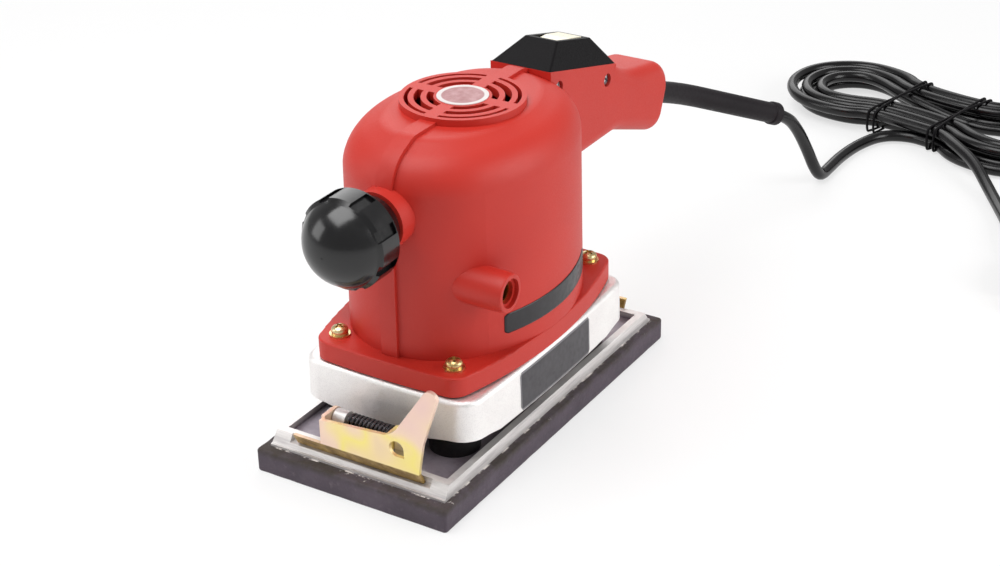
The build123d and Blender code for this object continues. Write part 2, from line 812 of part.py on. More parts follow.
def washers_and_screws():
    """Flange screws with a spring washer and a flat washer each."""
    flat, sprung, screws = [], [], []
    for x, y in four_corners(flange_screw_x, flange_screw_y):
        hole = flange_screw_radius + fit_clearance
        flat.append(Pos(x, y, bell_z) * ring(flat_washer_radius, hole, flat_washer_thickness))
        split = ring(spring_washer_radius, hole, spring_washer_thickness)
        split -= Rot(0, 0, washer_split_angle) * block(
            2 * spring_washer_radius, washer_split, spring_washer_thickness, spring_washer_radius)
        sprung.append(Pos(x, y, bell_z + flat_washer_thickness) * split)
        head_z = bell_z + flat_washer_thickness + spring_washer_thickness
        head = cylinder(screw_head_radius, screw_head_height, head_z, x, y)
        head = fillet(head.edges().group_by(Axis.Z)[-1], screw_crown_radius)
        reach = flange_screw_length + spring_washer_thickness + flat_washer_thickness
        screws.append(head + cylinder(flange_screw_radius, reach, head_z - reach, x, y))
    return flat, sprung, screws


def gasket():
    """Thin seal between flange and base housing."""
    sheet = Pos(0, 0, base_top_z) * extrude(flange_outline(-gasket_inset), gasket_thickness)
    sheet -= cylinder(low_bearing_radius + 2 * bearing_seat_wall, gasket_thickness, base_top_z)
    for x, y in four_corners(flange_screw_x, flange_screw_y):
        sheet -= cylinder(flange_screw_radius + fit_clearance, gasket_thickness, base_top_z, x, y)
    return sheet


def base_housing():
    """Cast skirt with a bearing seat, screw bosses and post seats."""
    shell = Pos(0, 0, base_z) * extrude(base_outline(), base_height, taper=base_draft)
    shell = fillet(shell.faces().sort_by(Axis.Z)[-1].edges(), base_top_radius)
    shell = fillet(shell.faces().sort_by(Axis.Z)[0].edges(), base_foot_radius)
    cavity_height = base_height - base_top_plate
    shell -= Pos(0, 0, base_z) * extrude(base_outline(-base_wall), cavity_height, taper=base_draft)
    seat_radius = low_bearing_radius + bearing_seat_wall
    shell += cylinder(seat_radius, low_bearing_width + bearing_floor, low_bearing_z - bearing_floor)
    arch_ball = (arch_radius**2 + arch_rise**2) / (2 * arch_rise)
    shell -= cylinder(low_bearing_radius + fit_clearance, low_bearing_width, low_bearing_z)
    shell -= cylinder(shaft_radius + shaft_room, base_height, base_z)
    post_top = tray_z + post_height
    for x, y in four_corners(post_x, post_y):
        shell += cylinder(post_neck_radius, base_top_z - base_top_plate - post_top - part_clearance,
                          post_top + part_clearance, x, y)
    for x, y in four_corners(base_corner_x, base_corner_y):
        shell -= Pos(x, y, base_z + arch_rise - arch_ball) * Sphere(arch_ball)
    boss_depth = flange_screw_length - flange_thickness - gasket_thickness + screw_tip_room
    skin = base_wall / 2
    inside = Pos(0, 0, base_z) * extrude(base_outline(-skin), base_height - skin, taper=base_draft)
    for x, y in four_corners(flange_screw_x, flange_screw_y):
        boss = cylinder(screw_boss_radius, boss_depth, base_top_z - boss_depth, x, y)
        shell += boss & inside
    for x, y in four_corners(flange_screw_x, flange_screw_y):
        shell -= cylinder(flange_screw_radius + fit_clearance, boss_depth, base_top_z - boss_depth, x, y)
    return shell.solids().sort_by(SortBy.VOLUME)[-1]


def bearing(bore_radius, outer_radius, width, z, x=0.0, y=0.0):
    """Sealed ball bearing: outer ring with shields, and inner ring."""
    step = (outer_radius - bore_radius) * bearing_ring_share
    inner_edge = bore_radius + step
    outer_edge = outer_radius - step
    outer = ring(outer_radius, outer_edge, width)
    shield = ring(outer_edge, inner_edge + part_clearance, bearing_shield)
    outer += Pos(0, 0, bearing_shield_inset) * shield
    outer += Pos(0, 0, width - bearing_shield_inset - bearing_shield) * shield
    inner = ring(inner_edge, bore_radius + fit_clearance, width)
    return Pos(x, y, z) * outer, Pos(x, y, z) * inner


def motor_shaft():
    """Stepped shaft with an eccentric pin at its foot."""
    top_z = top_bearing_z + top_bearing_width + shaft_end_reach
    main_top = top_bearing_z - shaft_end_reach
    shaft = cylinder(shaft_radius, main_top - shaft_step_z, shaft_step_z)
    shaft += cylinder(shaft_top_radius, top_z - main_top, main_top)
    foot = eccentric_bearing_z - eccentric_pin_reach
    return shaft + cylinder(eccentric_pin_radius, shaft_step_z - foot, foot, orbit_x, orbit_y)


def rotor_core():
    """Squirrel-cage rotor with end rings."""
    radius = stator_bore_radius - air_gap
    core = cylinder(radius, stator_height, stator_z)
    low = stator_z - end_ring_height
    for z in (low, stator_top_z):
        core += cylinder(radius - end_ring_step, end_ring_height, z)
    return core - cylinder(shaft_radius + fit_clearance, stator_height + 2 * end_ring_height, low)


def stator_core():
    """Laminated ring with wound slots left open at the bore."""
    core = ring(stator_radius, stator_bore_radius, stator_height, stator_z)
    for k in range(slot_count):
        slot = block(winding_outer_radius - stator_bore_radius + slot_floor, slot_width, stator_height,
                     (winding_outer_radius + stator_bore_radius - slot_floor) / 2, 0, stator_z)
        core -= Rot(0, 0, 360 / slot_count * k) * slot
    for x, y in stator_screw_places():
        core -= cylinder(stator_screw_radius + fit_clearance, stator_height, stator_z, x, y)
    return core


def stator_windings():
    """End turns above and below the core."""
    turns = []
    for z in (stator_z - winding_height, stator_top_z):
        coil = ring(winding_outer_radius, winding_inner_radius, winding_height, z)
        turns.append(fillet(coil.edges(), winding_edge_radius))
    return turns


def stator_screws():
    """Long screws from below through the core into the ribs."""
    screws = []
    for x, y in stator_screw_places():
        head_z = stator_z - stator_screw_head_height
        head = cylinder(stator_screw_head_radius, stator_screw_head_height, head_z, x, y)
        screws.append(head + cylinder(stator_screw_radius, stator_height + stator_screw_grip, stator_z, x, y))
    return screws


def cooling_fan():
    """Radial fan under the vent."""
    fan = cylinder(fan_radius, fan_plate_thickness, fan_z)
    fan += cylinder(fan_hub_radius, fan_hub_height, fan_z)
    for k in range(fan_blade_count):
        blade = block(fan_radius - shaft_radius, fan_blade_thickness, fan_blade_height,
                      (fan_radius + shaft_radius) / 2, 0, fan_z + fan_plate_thickness)
        fan += Rot(0, 0, 360 / fan_blade_count * k) * blade
    height = fan_plate_thickness + fan_blade_height
    return (fan & cylinder(fan_radius, height, fan_z)) - cylinder(shaft_radius + fit_clearance, height, fan_z)


def counterweight():
    """Half disc opposite the eccentric pin, on the shaft."""
    half = cylinder(weight_radius, weight_height, weight_z)
    half &= block(weight_radius, 2 * weight_radius, weight_height, -weight_radius / 2, 0, weight_z)
    half += cylinder(weight_hub_radius, weight_height, weight_z)
    return Rot(0, 0, orbit_angle) * (half - cylinder(shaft_radius + fit_clearance, weight_height, weight_z))


def sanding_pad():
    """Rubber pad bonded under the platen."""
    face = RectangleRounded(pad_width, pad_length, pad_corner_radius)
    return Pos(orbit_x, orbit_y, 0) * extrude(face, pad_thickness)


def clamp_lugs():
    """Two cast lugs of a paper clamp at the front end, bored for its pin."""
    lugs = None
    for x in (lug_left_x, lug_right_x):
        lug = block(lug_width, lug_depth, pin_height, x, -pin_y, tray_z)
        lug += Pos(x, -pin_y, pin_z) * Rot(0, 90, 0) * Cylinder(lug_depth / 2, lug_width)
        lugs = lug if lugs is None else lugs + lug
    return lugs - clamp_pin_bore(fit_clearance)


def clamp_pin_bore(clearance):
    """Bore for a clamp's pin, right across lugs and ears."""
    return Pos(0, -pin_y, pin_z) * Rot(0, 90, 0) * Cylinder(pin_radius + clearance, foot_width)


def ear_places():
    """X of the clamp's two ears, each to the left of its lug."""
    return lug_left_x - ear_offset, lug_right_x - ear_offset


def end_slope(half_width):
    """Wedge cut off the front end, from the end wall's top down to the foot."""
    front = -foot_length / 2
    low = platen_z + end_foot_lip
    crest = -end_wall_y - end_wall_crest
    points = [(front + end_slope_foot, low), (crest, rail_z), (crest, rail_z + rail_height),
              (front - end_wall_inset, rail_z + rail_height), (front - end_wall_inset, low)]
    face = Plane.YZ * Face(Wire(Polyline(*points, close=True).edges()))
    return extrude(face, half_width, both=True)


def platen_end():
    """Cuts of the front end: slope across it and the groove that takes the jaw."""
    groove = block(2 * groove_half_width, clamp_plate_gap, rail_height, 0, -end_wall_y - clamp_plate_gap / 2,
                   platen_z + groove_depth)
    return end_slope(foot_width) + groove


def platen():
    """Cast tray with side rails, end walls, clamp lugs and the bearing hub."""
    foot = Rectangle(foot_width, foot_length)
    tray = Pos(0, 0, platen_z) * extrude(foot, rail_height, taper=rail_draft)
    inner_width = foot_width - 2 * rail_width - 2 * rail_height * math.tan(math.radians(rail_draft))
    inner_length = 2 * (end_wall_y - end_wall_width)
    tray -= block(inner_width, inner_length, rail_height, 0, 0, tray_z)
    for turn in (0, 180):
        tray -= Rot(0, 0, turn) * platen_end()
        tray += Rot(0, 0, turn) * clamp_lugs()
    hub_height = eccentric_bearing_z + eccentric_bearing_width - tray_z
    tray += cylinder(hub_radius, hub_height, tray_z)
    tray -= cylinder(eccentric_bearing_radius + fit_clearance, eccentric_bearing_width, eccentric_bearing_z)
    tray -= cylinder(eccentric_pin_radius + shaft_room, hub_dish_depth, eccentric_bearing_z - hub_dish_depth)
    for x, y in four_corners(post_x, post_y):
        tray -= cylinder(post_screw_radius + fit_clearance, tray_floor, platen_z, x, y)
    return Pos(orbit_x, orbit_y, 0) * tray


def rubber_posts():
    """Four posts standing on the tray, each with a wide foot."""
    posts = []
    for x, y in four_corners(post_x, post_y):
        foot = cylinder(post_foot_radius, post_foot_height, tray_z, x, y)
        foot = fillet(foot.edges().group_by(Axis.Z)[-1], post_edge_radius)
        post = foot + cylinder(post_neck_radius, post_height, tray_z, x, y)
        post -= cylinder(post_screw_radius + fit_clearance, post_screw_reach + post_screw_room, tray_z, x, y)
        posts.append(Pos(orbit_x, orbit_y, 0) * post)
    return posts


def post_screws():
    """Studs from the tray floor up into the posts."""
    screws = []
    for x, y in four_corners(post_x, post_y):
        shank = cylinder(post_screw_radius, tray_floor + post_screw_reach, platen_z, x, y)
        screws.append(Pos(orbit_x, orbit_y, 0) * shank)
    return screws


def clamp_outline():
    """Front view of the clamp plate with its lever, in X and Z from the plate's foot."""
    tip = Vector(*lever_tip)
    left_run = (tip - Vector(*lever_throat)).normalized()
    right_run = (tip - Vector(*lever_foot)).normalized()
    left_tip = tip + Vector(-left_run.Y, left_run.X) * lever_tip_radius
    right_tip = tip + Vector(right_run.Y, -right_run.X) * lever_tip_radius
    crest = tip + (left_run + right_run).normalized() * lever_tip_radius
    root = (lever_root_x, plate_right_height)
    edges = [Line((plate_left, 0), (plate_right, 0)),
             Line((plate_right, 0), lever_foot),
             Line(lever_foot, right_tip),
             ThreePointArc(right_tip, crest, left_tip),
             Line(left_tip, lever_throat),
             ThreePointArc(lever_throat, lever_bend, root),
             Line(root, (plate_left, plate_left_height)),
             Line((plate_left, plate_left_height), (plate_left, 0))]
    return Face(Wire(edges))


def teardrop(radius):
    """Round window with one square corner, at its lower right."""
    return Circle(radius) + Pos(radius / 2, -radius / 2) * Rectangle(radius, radius)


def clamp_plate():
    """Front clamp: plate with lever, jaw bent back to the end wall, and two ears on the pin."""
    jaw_z = platen_z + groove_depth + jaw_bottom_gap
    plate_z = jaw_z + jaw_height
    face_y = -end_wall_y - clamp_plate_gap
    plane = Plane(origin=(0, face_y, plate_z), x_dir=(1, 0, 0), z_dir=(0, -1, 0))
    plate = extrude(plane * clamp_outline(), clamp_sheet)
    plate -= extrude(plane * Pos(*lever_window) * teardrop(lever_window_radius), clamp_sheet)
    jaw_back = -end_wall_y - part_clearance
    points = [(face_y, plate_z), (face_y - clamp_sheet, plate_z), (jaw_back - clamp_sheet, jaw_z),
              (jaw_back, jaw_z)]
    strip = Plane.YZ * Face(Wire(Polyline(*points, close=True).edges()))
    jaw = Pos((plate_right - jaw_left) / 2, 0, 0) * extrude(strip, (plate_right + jaw_left) / 2, both=True)
    clamp = plate + jaw
    ear_length = -pin_y - face_y
    for x in ear_places():
        ear = block(clamp_sheet, ear_length, 2 * ear_radius, x, face_y + ear_length / 2, pin_z - ear_radius)
        ear += Pos(x, -pin_y, pin_z) * Rot(0, 90, 0) * Cylinder(ear_radius, clamp_sheet)
        clamp += ear
    clamp -= clamp_pin_bore(running_clearance)
    return clamp


def clamp_pin():
    """Headed pin through ears and lugs."""
    left = plate_left - part_clearance
    place = Pos(left, -pin_y, pin_z) * Rot(0, 90, 0)
    length = lug_right_x + lug_width / 2 + part_clearance - left
    pin = cylinder(pin_radius, length)
    pin += cylinder(pin_head_radius, pin_head_height, -pin_head_height)
    pin += cylinder(pin_head_radius, pin_head_height, length)
    return place * pin


def clamp_spring():
    """Coil round the pin from the left lug to the right ear, of half-turn arcs that step along the pin."""
    coil_radius = pin_radius + spring_wire_radius + spring_pin_gap
    left = lug_left_x + lug_width / 2
    right = ear_places()[1] - clamp_sheet / 2
    pitch = (right - left - 2 * spring_wire_radius - 2 * spring_end_gap) / spring_turns
    start_x = (left + right - spring_turns * pitch) / 2
    edges = []
    for half in range(2 * spring_turns):
        sign = 1 if half % 2 == 0 else -1
        x0 = start_x + half * pitch / 2
        edges.append(ThreePointArc((x0, 0, -sign * coil_radius), (x0 + pitch / 4, sign * coil_radius, 0),
                                   (x0 + pitch / 2, 0, sign * coil_radius)))
    start = Plane(origin=edges[0] @ 0, z_dir=edges[0] % 0)
    path = Wire(edges)
    print("spring least gap", round(least_gap(path, spring_wire_radius, 2 * coil_radius), 2))
    return Pos(0, -pin_y, pin_z) * sweep(start * Circle(spring_wire_radius), path=path)


def at_front(shape):
    return Pos(orbit_x, orbit_y, 0) * shape


def at_rear(shape):
    return Pos(orbit_x, orbit_y, 0) * Rot(0, 0, 180) * shape


def route_radii(points):
    """Bend radius at each inner point of a route."""
    radii = []
    for a, b, c in zip(points, points[1:], points[2:]):
        first = Vector(*b) - Vector(*a)
        second = Vector(*c) - Vector(*b)
        turn = math.radians(first.get_angle(second))
        radii.append(bend_share * min(first.length, second.length) / math.tan(turn / 2))
    return radii


def sweep_tube(points, radius):
    """Round tube along straight runs joined by tangent arcs."""
    path = FilletPolyline(*points, radius=route_radii(points)) if len(points) > 2 else Line(*points)
    start = Plane(origin=points[0], z_dir=Vector(*points[1]) - Vector(*points[0]))
    return sweep(start * Circle(radius), path=path)


def strain_relief():
    """Rubber sleeve out of the handle, with a bead at its end."""
    sleeve = sweep_tube(relief_route, relief_radius)
    end = Vector(*relief_route[-1])
    heading = (end - Vector(*relief_route[-2])).normalized()
    bead_plane = Plane(origin=end - heading * relief_bead_length, z_dir=heading)
    bead = bead_plane * cylinder(relief_bead_radius, relief_bead_length)
    return sleeve + fillet(bead.edges(), relief_bead_edge)


def hank_point(x, y, z):
    """A point of the hank, from its own frame to the part's."""
    turn = math.radians(hank_turn)
    return (hank_centre[0] + x * math.cos(turn) - y * math.sin(turn),
            hank_centre[1] + x * math.sin(turn) + y * math.cos(turn), z)


def ease(start, end):
    """Two equal tangent arcs from a straight run to one beside it, both along X."""
    run = end[0] - start[0]
    shift = [end[k] - start[k] for k in (1, 2)]
    offset = math.hypot(*shift)
    turn = 2 * math.atan2(offset, abs(run))
    radius = abs(run) / (2 * math.sin(turn))
    reach = math.copysign(radius * math.sin(turn / 2), run)
    bow = radius * (1 - math.cos(turn / 2)) / offset
    first = (start[0] + reach, start[1] + shift[0] * bow, start[2] + shift[1] * bow)
    last = (end[0] - reach, end[1] - shift[0] * bow, end[2] - shift[1] * bow)
    middle = tuple((a + b) / 2 for a, b in zip(start, end))
    return [(start, first, middle), (middle, last, end)]


def hank_pieces():
    """Lines and arcs of the hank's one cord, in its own frame: in along one layer, out along the next."""
    low = hank_layer_z
    high = hank_layer_z + hank_layer_step
    near_tracks = [hank_outer_track - k * hank_track_step for k in range(hank_loops)]
    tracks = []
    for track in near_tracks:
        tracks.append((-track, low))
        tracks.append((track - hank_track_step / 2, low))
    for track in reversed(near_tracks):
        tracks.append((-track, high))
        tracks.append((track + hank_track_step / 2, high))
    tracks.pop()
    pieces = []
    climb = 2 * hank_loops - 1
    for k, (end_y, z) in enumerate(tracks):
        heading = 1 if end_y < 0 else -1
        waist_y = end_y - math.copysign(hank_draw_in, end_y)
        out_z = high if k == climb else z
        x_in = -heading * hank_waist_half
        x_out = heading * hank_waist_half
        if k == 0:
            pieces.append(((hank_start_x, waist_y, z), (x_out, waist_y, z)))
        elif k == len(tracks) - 1:
            pieces += ease((-heading * hank_run_half, end_y, z), (x_in, waist_y, z))
            pieces.append(((x_in, waist_y, z), (hank_end_x, waist_y, z)))
            break
        else:
            pieces += ease((-heading * hank_run_half, end_y, z), (x_in, waist_y, z))
            if k == climb:
                pieces += ease((x_in, waist_y, z), (x_out, waist_y, out_z))
            else:
                pieces.append(((x_in, waist_y, z), (x_out, waist_y, z)))
        pieces += ease((x_out, waist_y, out_z), (heading * hank_run_half, end_y, out_z))
        next_y = tracks[k + 1][0]
        bulge = abs(next_y - end_y) / 2
        pieces.append(((heading * hank_run_half, end_y, out_z),
                       (heading * (hank_run_half + bulge), (end_y + next_y) / 2, out_z),
                       (heading * hank_run_half, next_y, out_z)))
    return pieces


def hank_edges():
    edges = []
    for piece in hank_pieces():
        points = [hank_point(*p) for p in piece]
        edges.append(Line(*points) if len(points) == 2 else ThreePointArc(*points))
    return edges


def least_gap(path, radius, skip, share=0.2):
    """Least gap of a wound tube to itself, on points along it that lie more than a length apart."""
    count = int(path.length / (skip * share))
    points = [path @ (k / count) for k in range(count + 1)]
    least = path.length
    apart = int(1 / share)
    for i, p in enumerate(points):
        for q in points[i + apart:]:
            least = min(least, (p - q).length)
    return least - 2 * radius


def cord_hank():
    """Bundled length of cord: one unbroken tube."""
    path = Wire(hank_edges())
    start = Plane(origin=path @ 0, z_dir=path % 0)
    tube = sweep(start * Circle(cord_radius), path=path)
    gap = least_gap(path, cord_radius, 12 * cord_radius)
    print("hank length", round(path.length, 1), "least gap", round(gap, 2),
          "volume ratio", round(tube.volume / (math.pi * cord_radius**2 * path.length), 4))
    return tube


def lead_points():
    """Route of the lead: straight out of the strain relief, and straight into the hank."""
    end = Vector(*relief_route[-1])
    first = end + (end - Vector(*relief_route[-2])).normalized() * relief_exit
    track = hank_draw_in - hank_outer_track
    last = [hank_point(x, track, hank_layer_z) for x in (hank_start_x - hank_exit, hank_start_x)]
    return [tuple(end), tuple(first)] + lead_route + last


def plug_entry():
    turn = math.radians(plug_heading)
    x, y, z = tail_route[-1]
    return (x + plug_entry_run * math.cos(turn), y + plug_entry_run * math.sin(turn), z)


def tail_points():
    """Route of the tail: straight out of the hank's upper layer, down to the floor and into the plug."""
    track = hank_draw_in - hank_outer_track
    upper = hank_layer_z + hank_layer_step
    first = [hank_point(x, track, upper) for x in (hank_end_x, hank_end_x + hank_exit)]
    return first + tail_route + [plug_entry()]


def cord_stretch(name, points):
    """Free stretch of cord, with its radii printed."""
    tube = sweep_tube(points, cord_radius)
    length = FilletPolyline(*points, radius=route_radii(points)).length
    print(name, "length", round(length, 1), "radii", [round(r, 1) for r in route_radii(points)],
          "volume ratio", round(tube.volume / (math.pi * cord_radius**2 * length), 4))
    return tube


def hank_ties():
    """Two flat ties round the hank's waist."""
    half = hank_outer_track - hank_draw_in + cord_radius + tie_gap
    height = hank_layer_step + 2 * cord_radius + 2 * tie_gap
    ties = []
    for x in (-hank_waist_half + tie_width, hank_waist_half - tie_width):
        outline = RectangleRounded(2 * half + 2 * tie_thickness, height + 2 * tie_thickness,
                                   cord_radius + tie_thickness)
        hole = RectangleRounded(2 * half, height, cord_radius)
        plane = Plane(origin=hank_point(x, 0, hank_layer_z + hank_layer_step / 2),
                      x_dir=Vector(*hank_point(0, 1, 0)) - Vector(*hank_point(0, 0, 0)),
                      z_dir=Vector(*hank_point(1, 0, 0)) - Vector(*hank_point(0, 0, 0)))
        ties.append(extrude(plane * (outline - hole), tie_width / 2, both=True))
    return ties


def plug_place():
    """Cord end of the plug, X pointing to its pins."""
    return Pos(*plug_entry()) * Rot(0, 0, plug_heading)


def plug_body():
    """Flat two-pin plug with a tapered cord end."""
    neck = Plane.YZ * RectangleRounded(2 * plug_neck_radius, 2 * plug_neck_radius, plug_neck_corner)
    face = Plane.YZ.offset(plug_grip_length) * RectangleRounded(plug_width, plug_thickness, plug_corner)
    body = loft([neck, face], ruled=True) + extrude(face, plug_length - plug_grip_length)
    for side in (-1, 1):
        hole = Pos(plug_length - plug_pin_socket, side * plug_pin_spacing / 2, 0) * Rot(0, 90, 0)
        body -= hole * cylinder(plug_pin_radius + fit_clearance, plug_pin_socket)
    return plug_place() * body


def plug_pins():
    """Two round pins."""
    pins = []
    for side in (-1, 1):
        pin = cylinder(plug_pin_radius, plug_pin_length + plug_pin_socket)
        pin = fillet(pin.edges().group_by(Axis.Z)[-1], plug_pin_edge)
        place = Pos(plug_length - plug_pin_socket, side * plug_pin_spacing / 2, 0) * Rot(0, 90, 0)
        pins.append(plug_place() * place * pin)
    return pins


def capacitor_plane(distance):
    """Section plane of the capacitor, a distance from its front end."""
    slope = math.radians(capacitor_slope)
    run = Vector(0, math.cos(slope), -math.sin(slope))
    return Plane(origin=Vector(0, *capacitor_start) + run * distance, x_dir=(1, 0, 0), z_dir=run)


def capacitor_cradle():
    """Rib across the grip, bored for the capacitor."""
    rib = capacitor_plane(capacitor_length / 2) * Box(
        3 * handle_half_width, 4 * handle_half_width, cradle_thickness)
    bore = capacitor_plane(0) * cylinder(capacitor_radius + fit_clearance, capacitor_length)
    return (rib & handle_form()) - bore


def run_capacitor():
    """Motor capacitor in the grip."""
    can = capacitor_plane(0) * cylinder(capacitor_radius, capacitor_length)
    return fillet(can.edges(), capacitor_edge_radius)


def terminal_block():
    """Terminal block on the floor of the neck."""
    floor = neck_bottom_z + handle_wall
    middle = bell_half_length + wall + terminal_length
    body = block(terminal_width, terminal_length, terminal_height, 0, middle, floor)
    for x in (-terminal_pitch, 0, terminal_pitch):
        body -= cylinder(terminal_hole_radius, terminal_hole_depth,
                         floor + terminal_height - terminal_hole_depth, x, middle)
    return body


def relief_plane(distance):
    """Section plane of the strain relief, a distance from its inner end; Y points down."""
    start = Vector(*relief_route[0])
    run = (Vector(*relief_route[1]) - start).normalized()
    return Plane(origin=start + run * distance, x_dir=(1, 0, 0), z_dir=run)


def cord_clamp_axis(side):
    """Place of a cord clamp screw, Z pointing down from the level of the strain relief's axis."""
    place = relief_plane(cord_clamp_length / 2) * Pos(side * cord_clamp_screw_spacing / 2, 0, 0)
    return place * Rot(-90, 0, 0)


def cord_clamp_post(side):
    """Post under the handle's roof that takes a cord clamp screw."""
    return cord_clamp_axis(side) * Rot(180, 0, 0) * cylinder(
        cord_clamp_post_radius, 2 * handle_half_width, relief_radius)


def cord_clamp_hole(side):
    """Screw hole in a cord clamp post."""
    return cord_clamp_axis(side) * Rot(180, 0, 0) * cylinder(
        cord_clamp_screw_radius + fit_clearance, relief_radius + cord_clamp_screw_bite)


def cord_clamp():
    """Bar screwed up under the strain relief's inner end."""
    drop = relief_radius + fit_clearance + cord_clamp_thickness / 2
    bar = relief_plane(cord_clamp_length / 2) * Pos(0, drop, 0) * Box(
        cord_clamp_width, cord_clamp_thickness, cord_clamp_length)
    for side in (-1, 1):
        bar -= cord_clamp_axis(side) * cylinder(cord_clamp_screw_radius + fit_clearance, 2 * drop)
    return bar


def cord_clamp_screws():
    """Two small screws through the bar into the posts."""
    low = relief_radius + fit_clearance + cord_clamp_thickness
    bite = relief_radius + cord_clamp_screw_bite
    screw = cylinder(cord_clamp_screw_radius, bite + low, -bite)
    screw += cylinder(cord_clamp_head_radius, cord_clamp_head_height, low)
    return [cord_clamp_axis(side) * screw for side in (-1, 1)]


def export(name, shape):
    solids = shape if isinstance(shape, list) else [shape]
    label = Compound(children=solids) if len(solids) > 1 else solids[0]
    export_step(label, os.path.join("parts", name + ".step"))


def main():
    os.makedirs("parts", exist_ok=True)
    flat, sprung, screws = washers_and_screws()
    top_outer, top_inner = bearing(shaft_top_radius, top_bearing_radius, top_bearing_width, top_bearing_z)
    low_outer, low_inner = bearing(shaft_radius, low_bearing_radius, low_bearing_width, low_bearing_z)
    pin_outer, pin_inner = bearing(eccentric_pin_radius, eccentric_bearing_radius, eccentric_bearing_width,
                                   eccentric_bearing_z, orbit_x, orbit_y)
    badge = cylinder(badge_radius, badge_thickness, vent_z + badge_rise - badge_thickness)
    nodes = {
        "motor_housing": motor_housing(),
        "handle_cover": handle_cover(),
        "handle_screws": handle_screws(),
        "switch_cover": switch_cover(),
        "switch_rocker": switch_rocker(),
        "switch_body": switch_body(),
        "vent_badge": badge,
        "thread_inserts": [insert_sleeve(place) for place in boss_places()],
        "front_knob": front_knob(),
        "knob_stud": knob_stud(),
        "flange_screws": screws,
        "spring_washers": sprung,
        "flat_washers": flat,
        "gasket": gasket(),
        "base_housing": base_housing(),
        "upper_bearing_outer": top_outer,
        "upper_bearing_inner": top_inner,
        "lower_bearing_outer": low_outer,
        "lower_bearing_inner": low_inner,
        "eccentric_bearing_outer": pin_outer,
        "eccentric_bearing_inner": pin_inner,
        "motor_shaft": motor_shaft(),
        "rotor_core": rotor_core(),
        "stator_core": stator_core(),
        "stator_windings": stator_windings(),
        "stator_screws": stator_screws(),
        "cooling_fan": cooling_fan(),
        "counterweight": counterweight(),
        "platen": platen(),
        "sanding_pad": sanding_pad(),
        "rubber_posts": rubber_posts(),
        "post_screws": post_screws(),
        "front_clamp": at_front(clamp_plate()),
        "front_clamp_pin": at_front(clamp_pin()),
        "front_clamp_spring": at_front(clamp_spring()),
        "rear_clamp": at_rear(clamp_plate()),
        "rear_clamp_pin": at_rear(clamp_pin()),
        "rear_clamp_spring": at_rear(clamp_spring()),
        "run_capacitor": run_capacitor(),
        "terminal_block": terminal_block(),
        "cord_clamp": cord_clamp(),
        "cord_clamp_screws": cord_clamp_screws(),
        "strain_relief": strain_relief(),
        "cord_lead": cord_stretch("lead", lead_points()),
        "cord_hank": cord_hank(),
        "cord_tail": cord_stretch("tail", tail_points()),
        "hank_ties": hank_ties(),
        "plug_body": plug_body(),
        "plug_pins": plug_pins(),
    }
    for name, shape in nodes.items():
        export(name, shape)


main()
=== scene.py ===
import math

import bmesh
import bpy
from mathutils import Matrix, Vector, noise
from mathutils.bvhtree import BVHTree


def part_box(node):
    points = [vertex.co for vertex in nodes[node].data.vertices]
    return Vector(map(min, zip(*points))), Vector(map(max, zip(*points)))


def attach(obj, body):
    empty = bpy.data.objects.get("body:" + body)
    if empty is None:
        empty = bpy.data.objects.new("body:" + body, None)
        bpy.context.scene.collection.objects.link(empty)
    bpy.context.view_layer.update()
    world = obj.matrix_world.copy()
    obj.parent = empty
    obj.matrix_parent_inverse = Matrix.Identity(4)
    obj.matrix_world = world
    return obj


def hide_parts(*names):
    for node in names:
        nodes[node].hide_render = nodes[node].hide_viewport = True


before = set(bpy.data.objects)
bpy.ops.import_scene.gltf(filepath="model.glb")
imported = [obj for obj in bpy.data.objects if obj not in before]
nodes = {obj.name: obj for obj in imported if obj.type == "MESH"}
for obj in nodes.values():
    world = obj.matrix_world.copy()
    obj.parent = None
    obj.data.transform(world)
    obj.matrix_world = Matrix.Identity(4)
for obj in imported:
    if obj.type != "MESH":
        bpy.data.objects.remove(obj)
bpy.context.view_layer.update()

# Orbital sheet sander, dressed. Metres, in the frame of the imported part.
MM = 0.001
scene = bpy.context.scene

# Camera: a lens of 1980 pixels on a picture 1000 pixels wide
CAMERA_AZIMUTH = 32.07
CAMERA_ELEVATION = 27.44
CAMERA_ROLL = -1.13
CAMERA_DISTANCE = 1.05013
CAMERA_TARGET = Vector((-0.05709, 0.11855, -0.00541))
CAMERA_NEAR = 0.01
FOCAL_SHARE = 1.98028
SENSOR_WIDTH = 36.0

# Studio: soft boxes by place, width and power in watts, in a world that shows brighter than it lights
LAMPS = {
    "left": ((-0.95, -0.7, 0.5), 0.6, 2.9),
    "right": ((1.05, 0.35, 0.5), 0.7, 7.0),
    "top": ((-0.2, -0.28, 1.1), 0.8, 9.4),
    "back": ((-0.7, 1.15, 0.75), 1.0, 5.6),
}
LAMP_AIM = Vector((0, 0.02, 0.07))
WORLD_LIGHT = 0.28
WORLD_MIRRORED = 0.2

# Floor: paper that glows where it is seen, and between these two distances fades to plain white
FLOOR_REACH = 4.0
FLOOR_SHADE = 0.94
FLOOR_GLOW = 0.66
FLOOR_FADE = (0.5, 1.3)

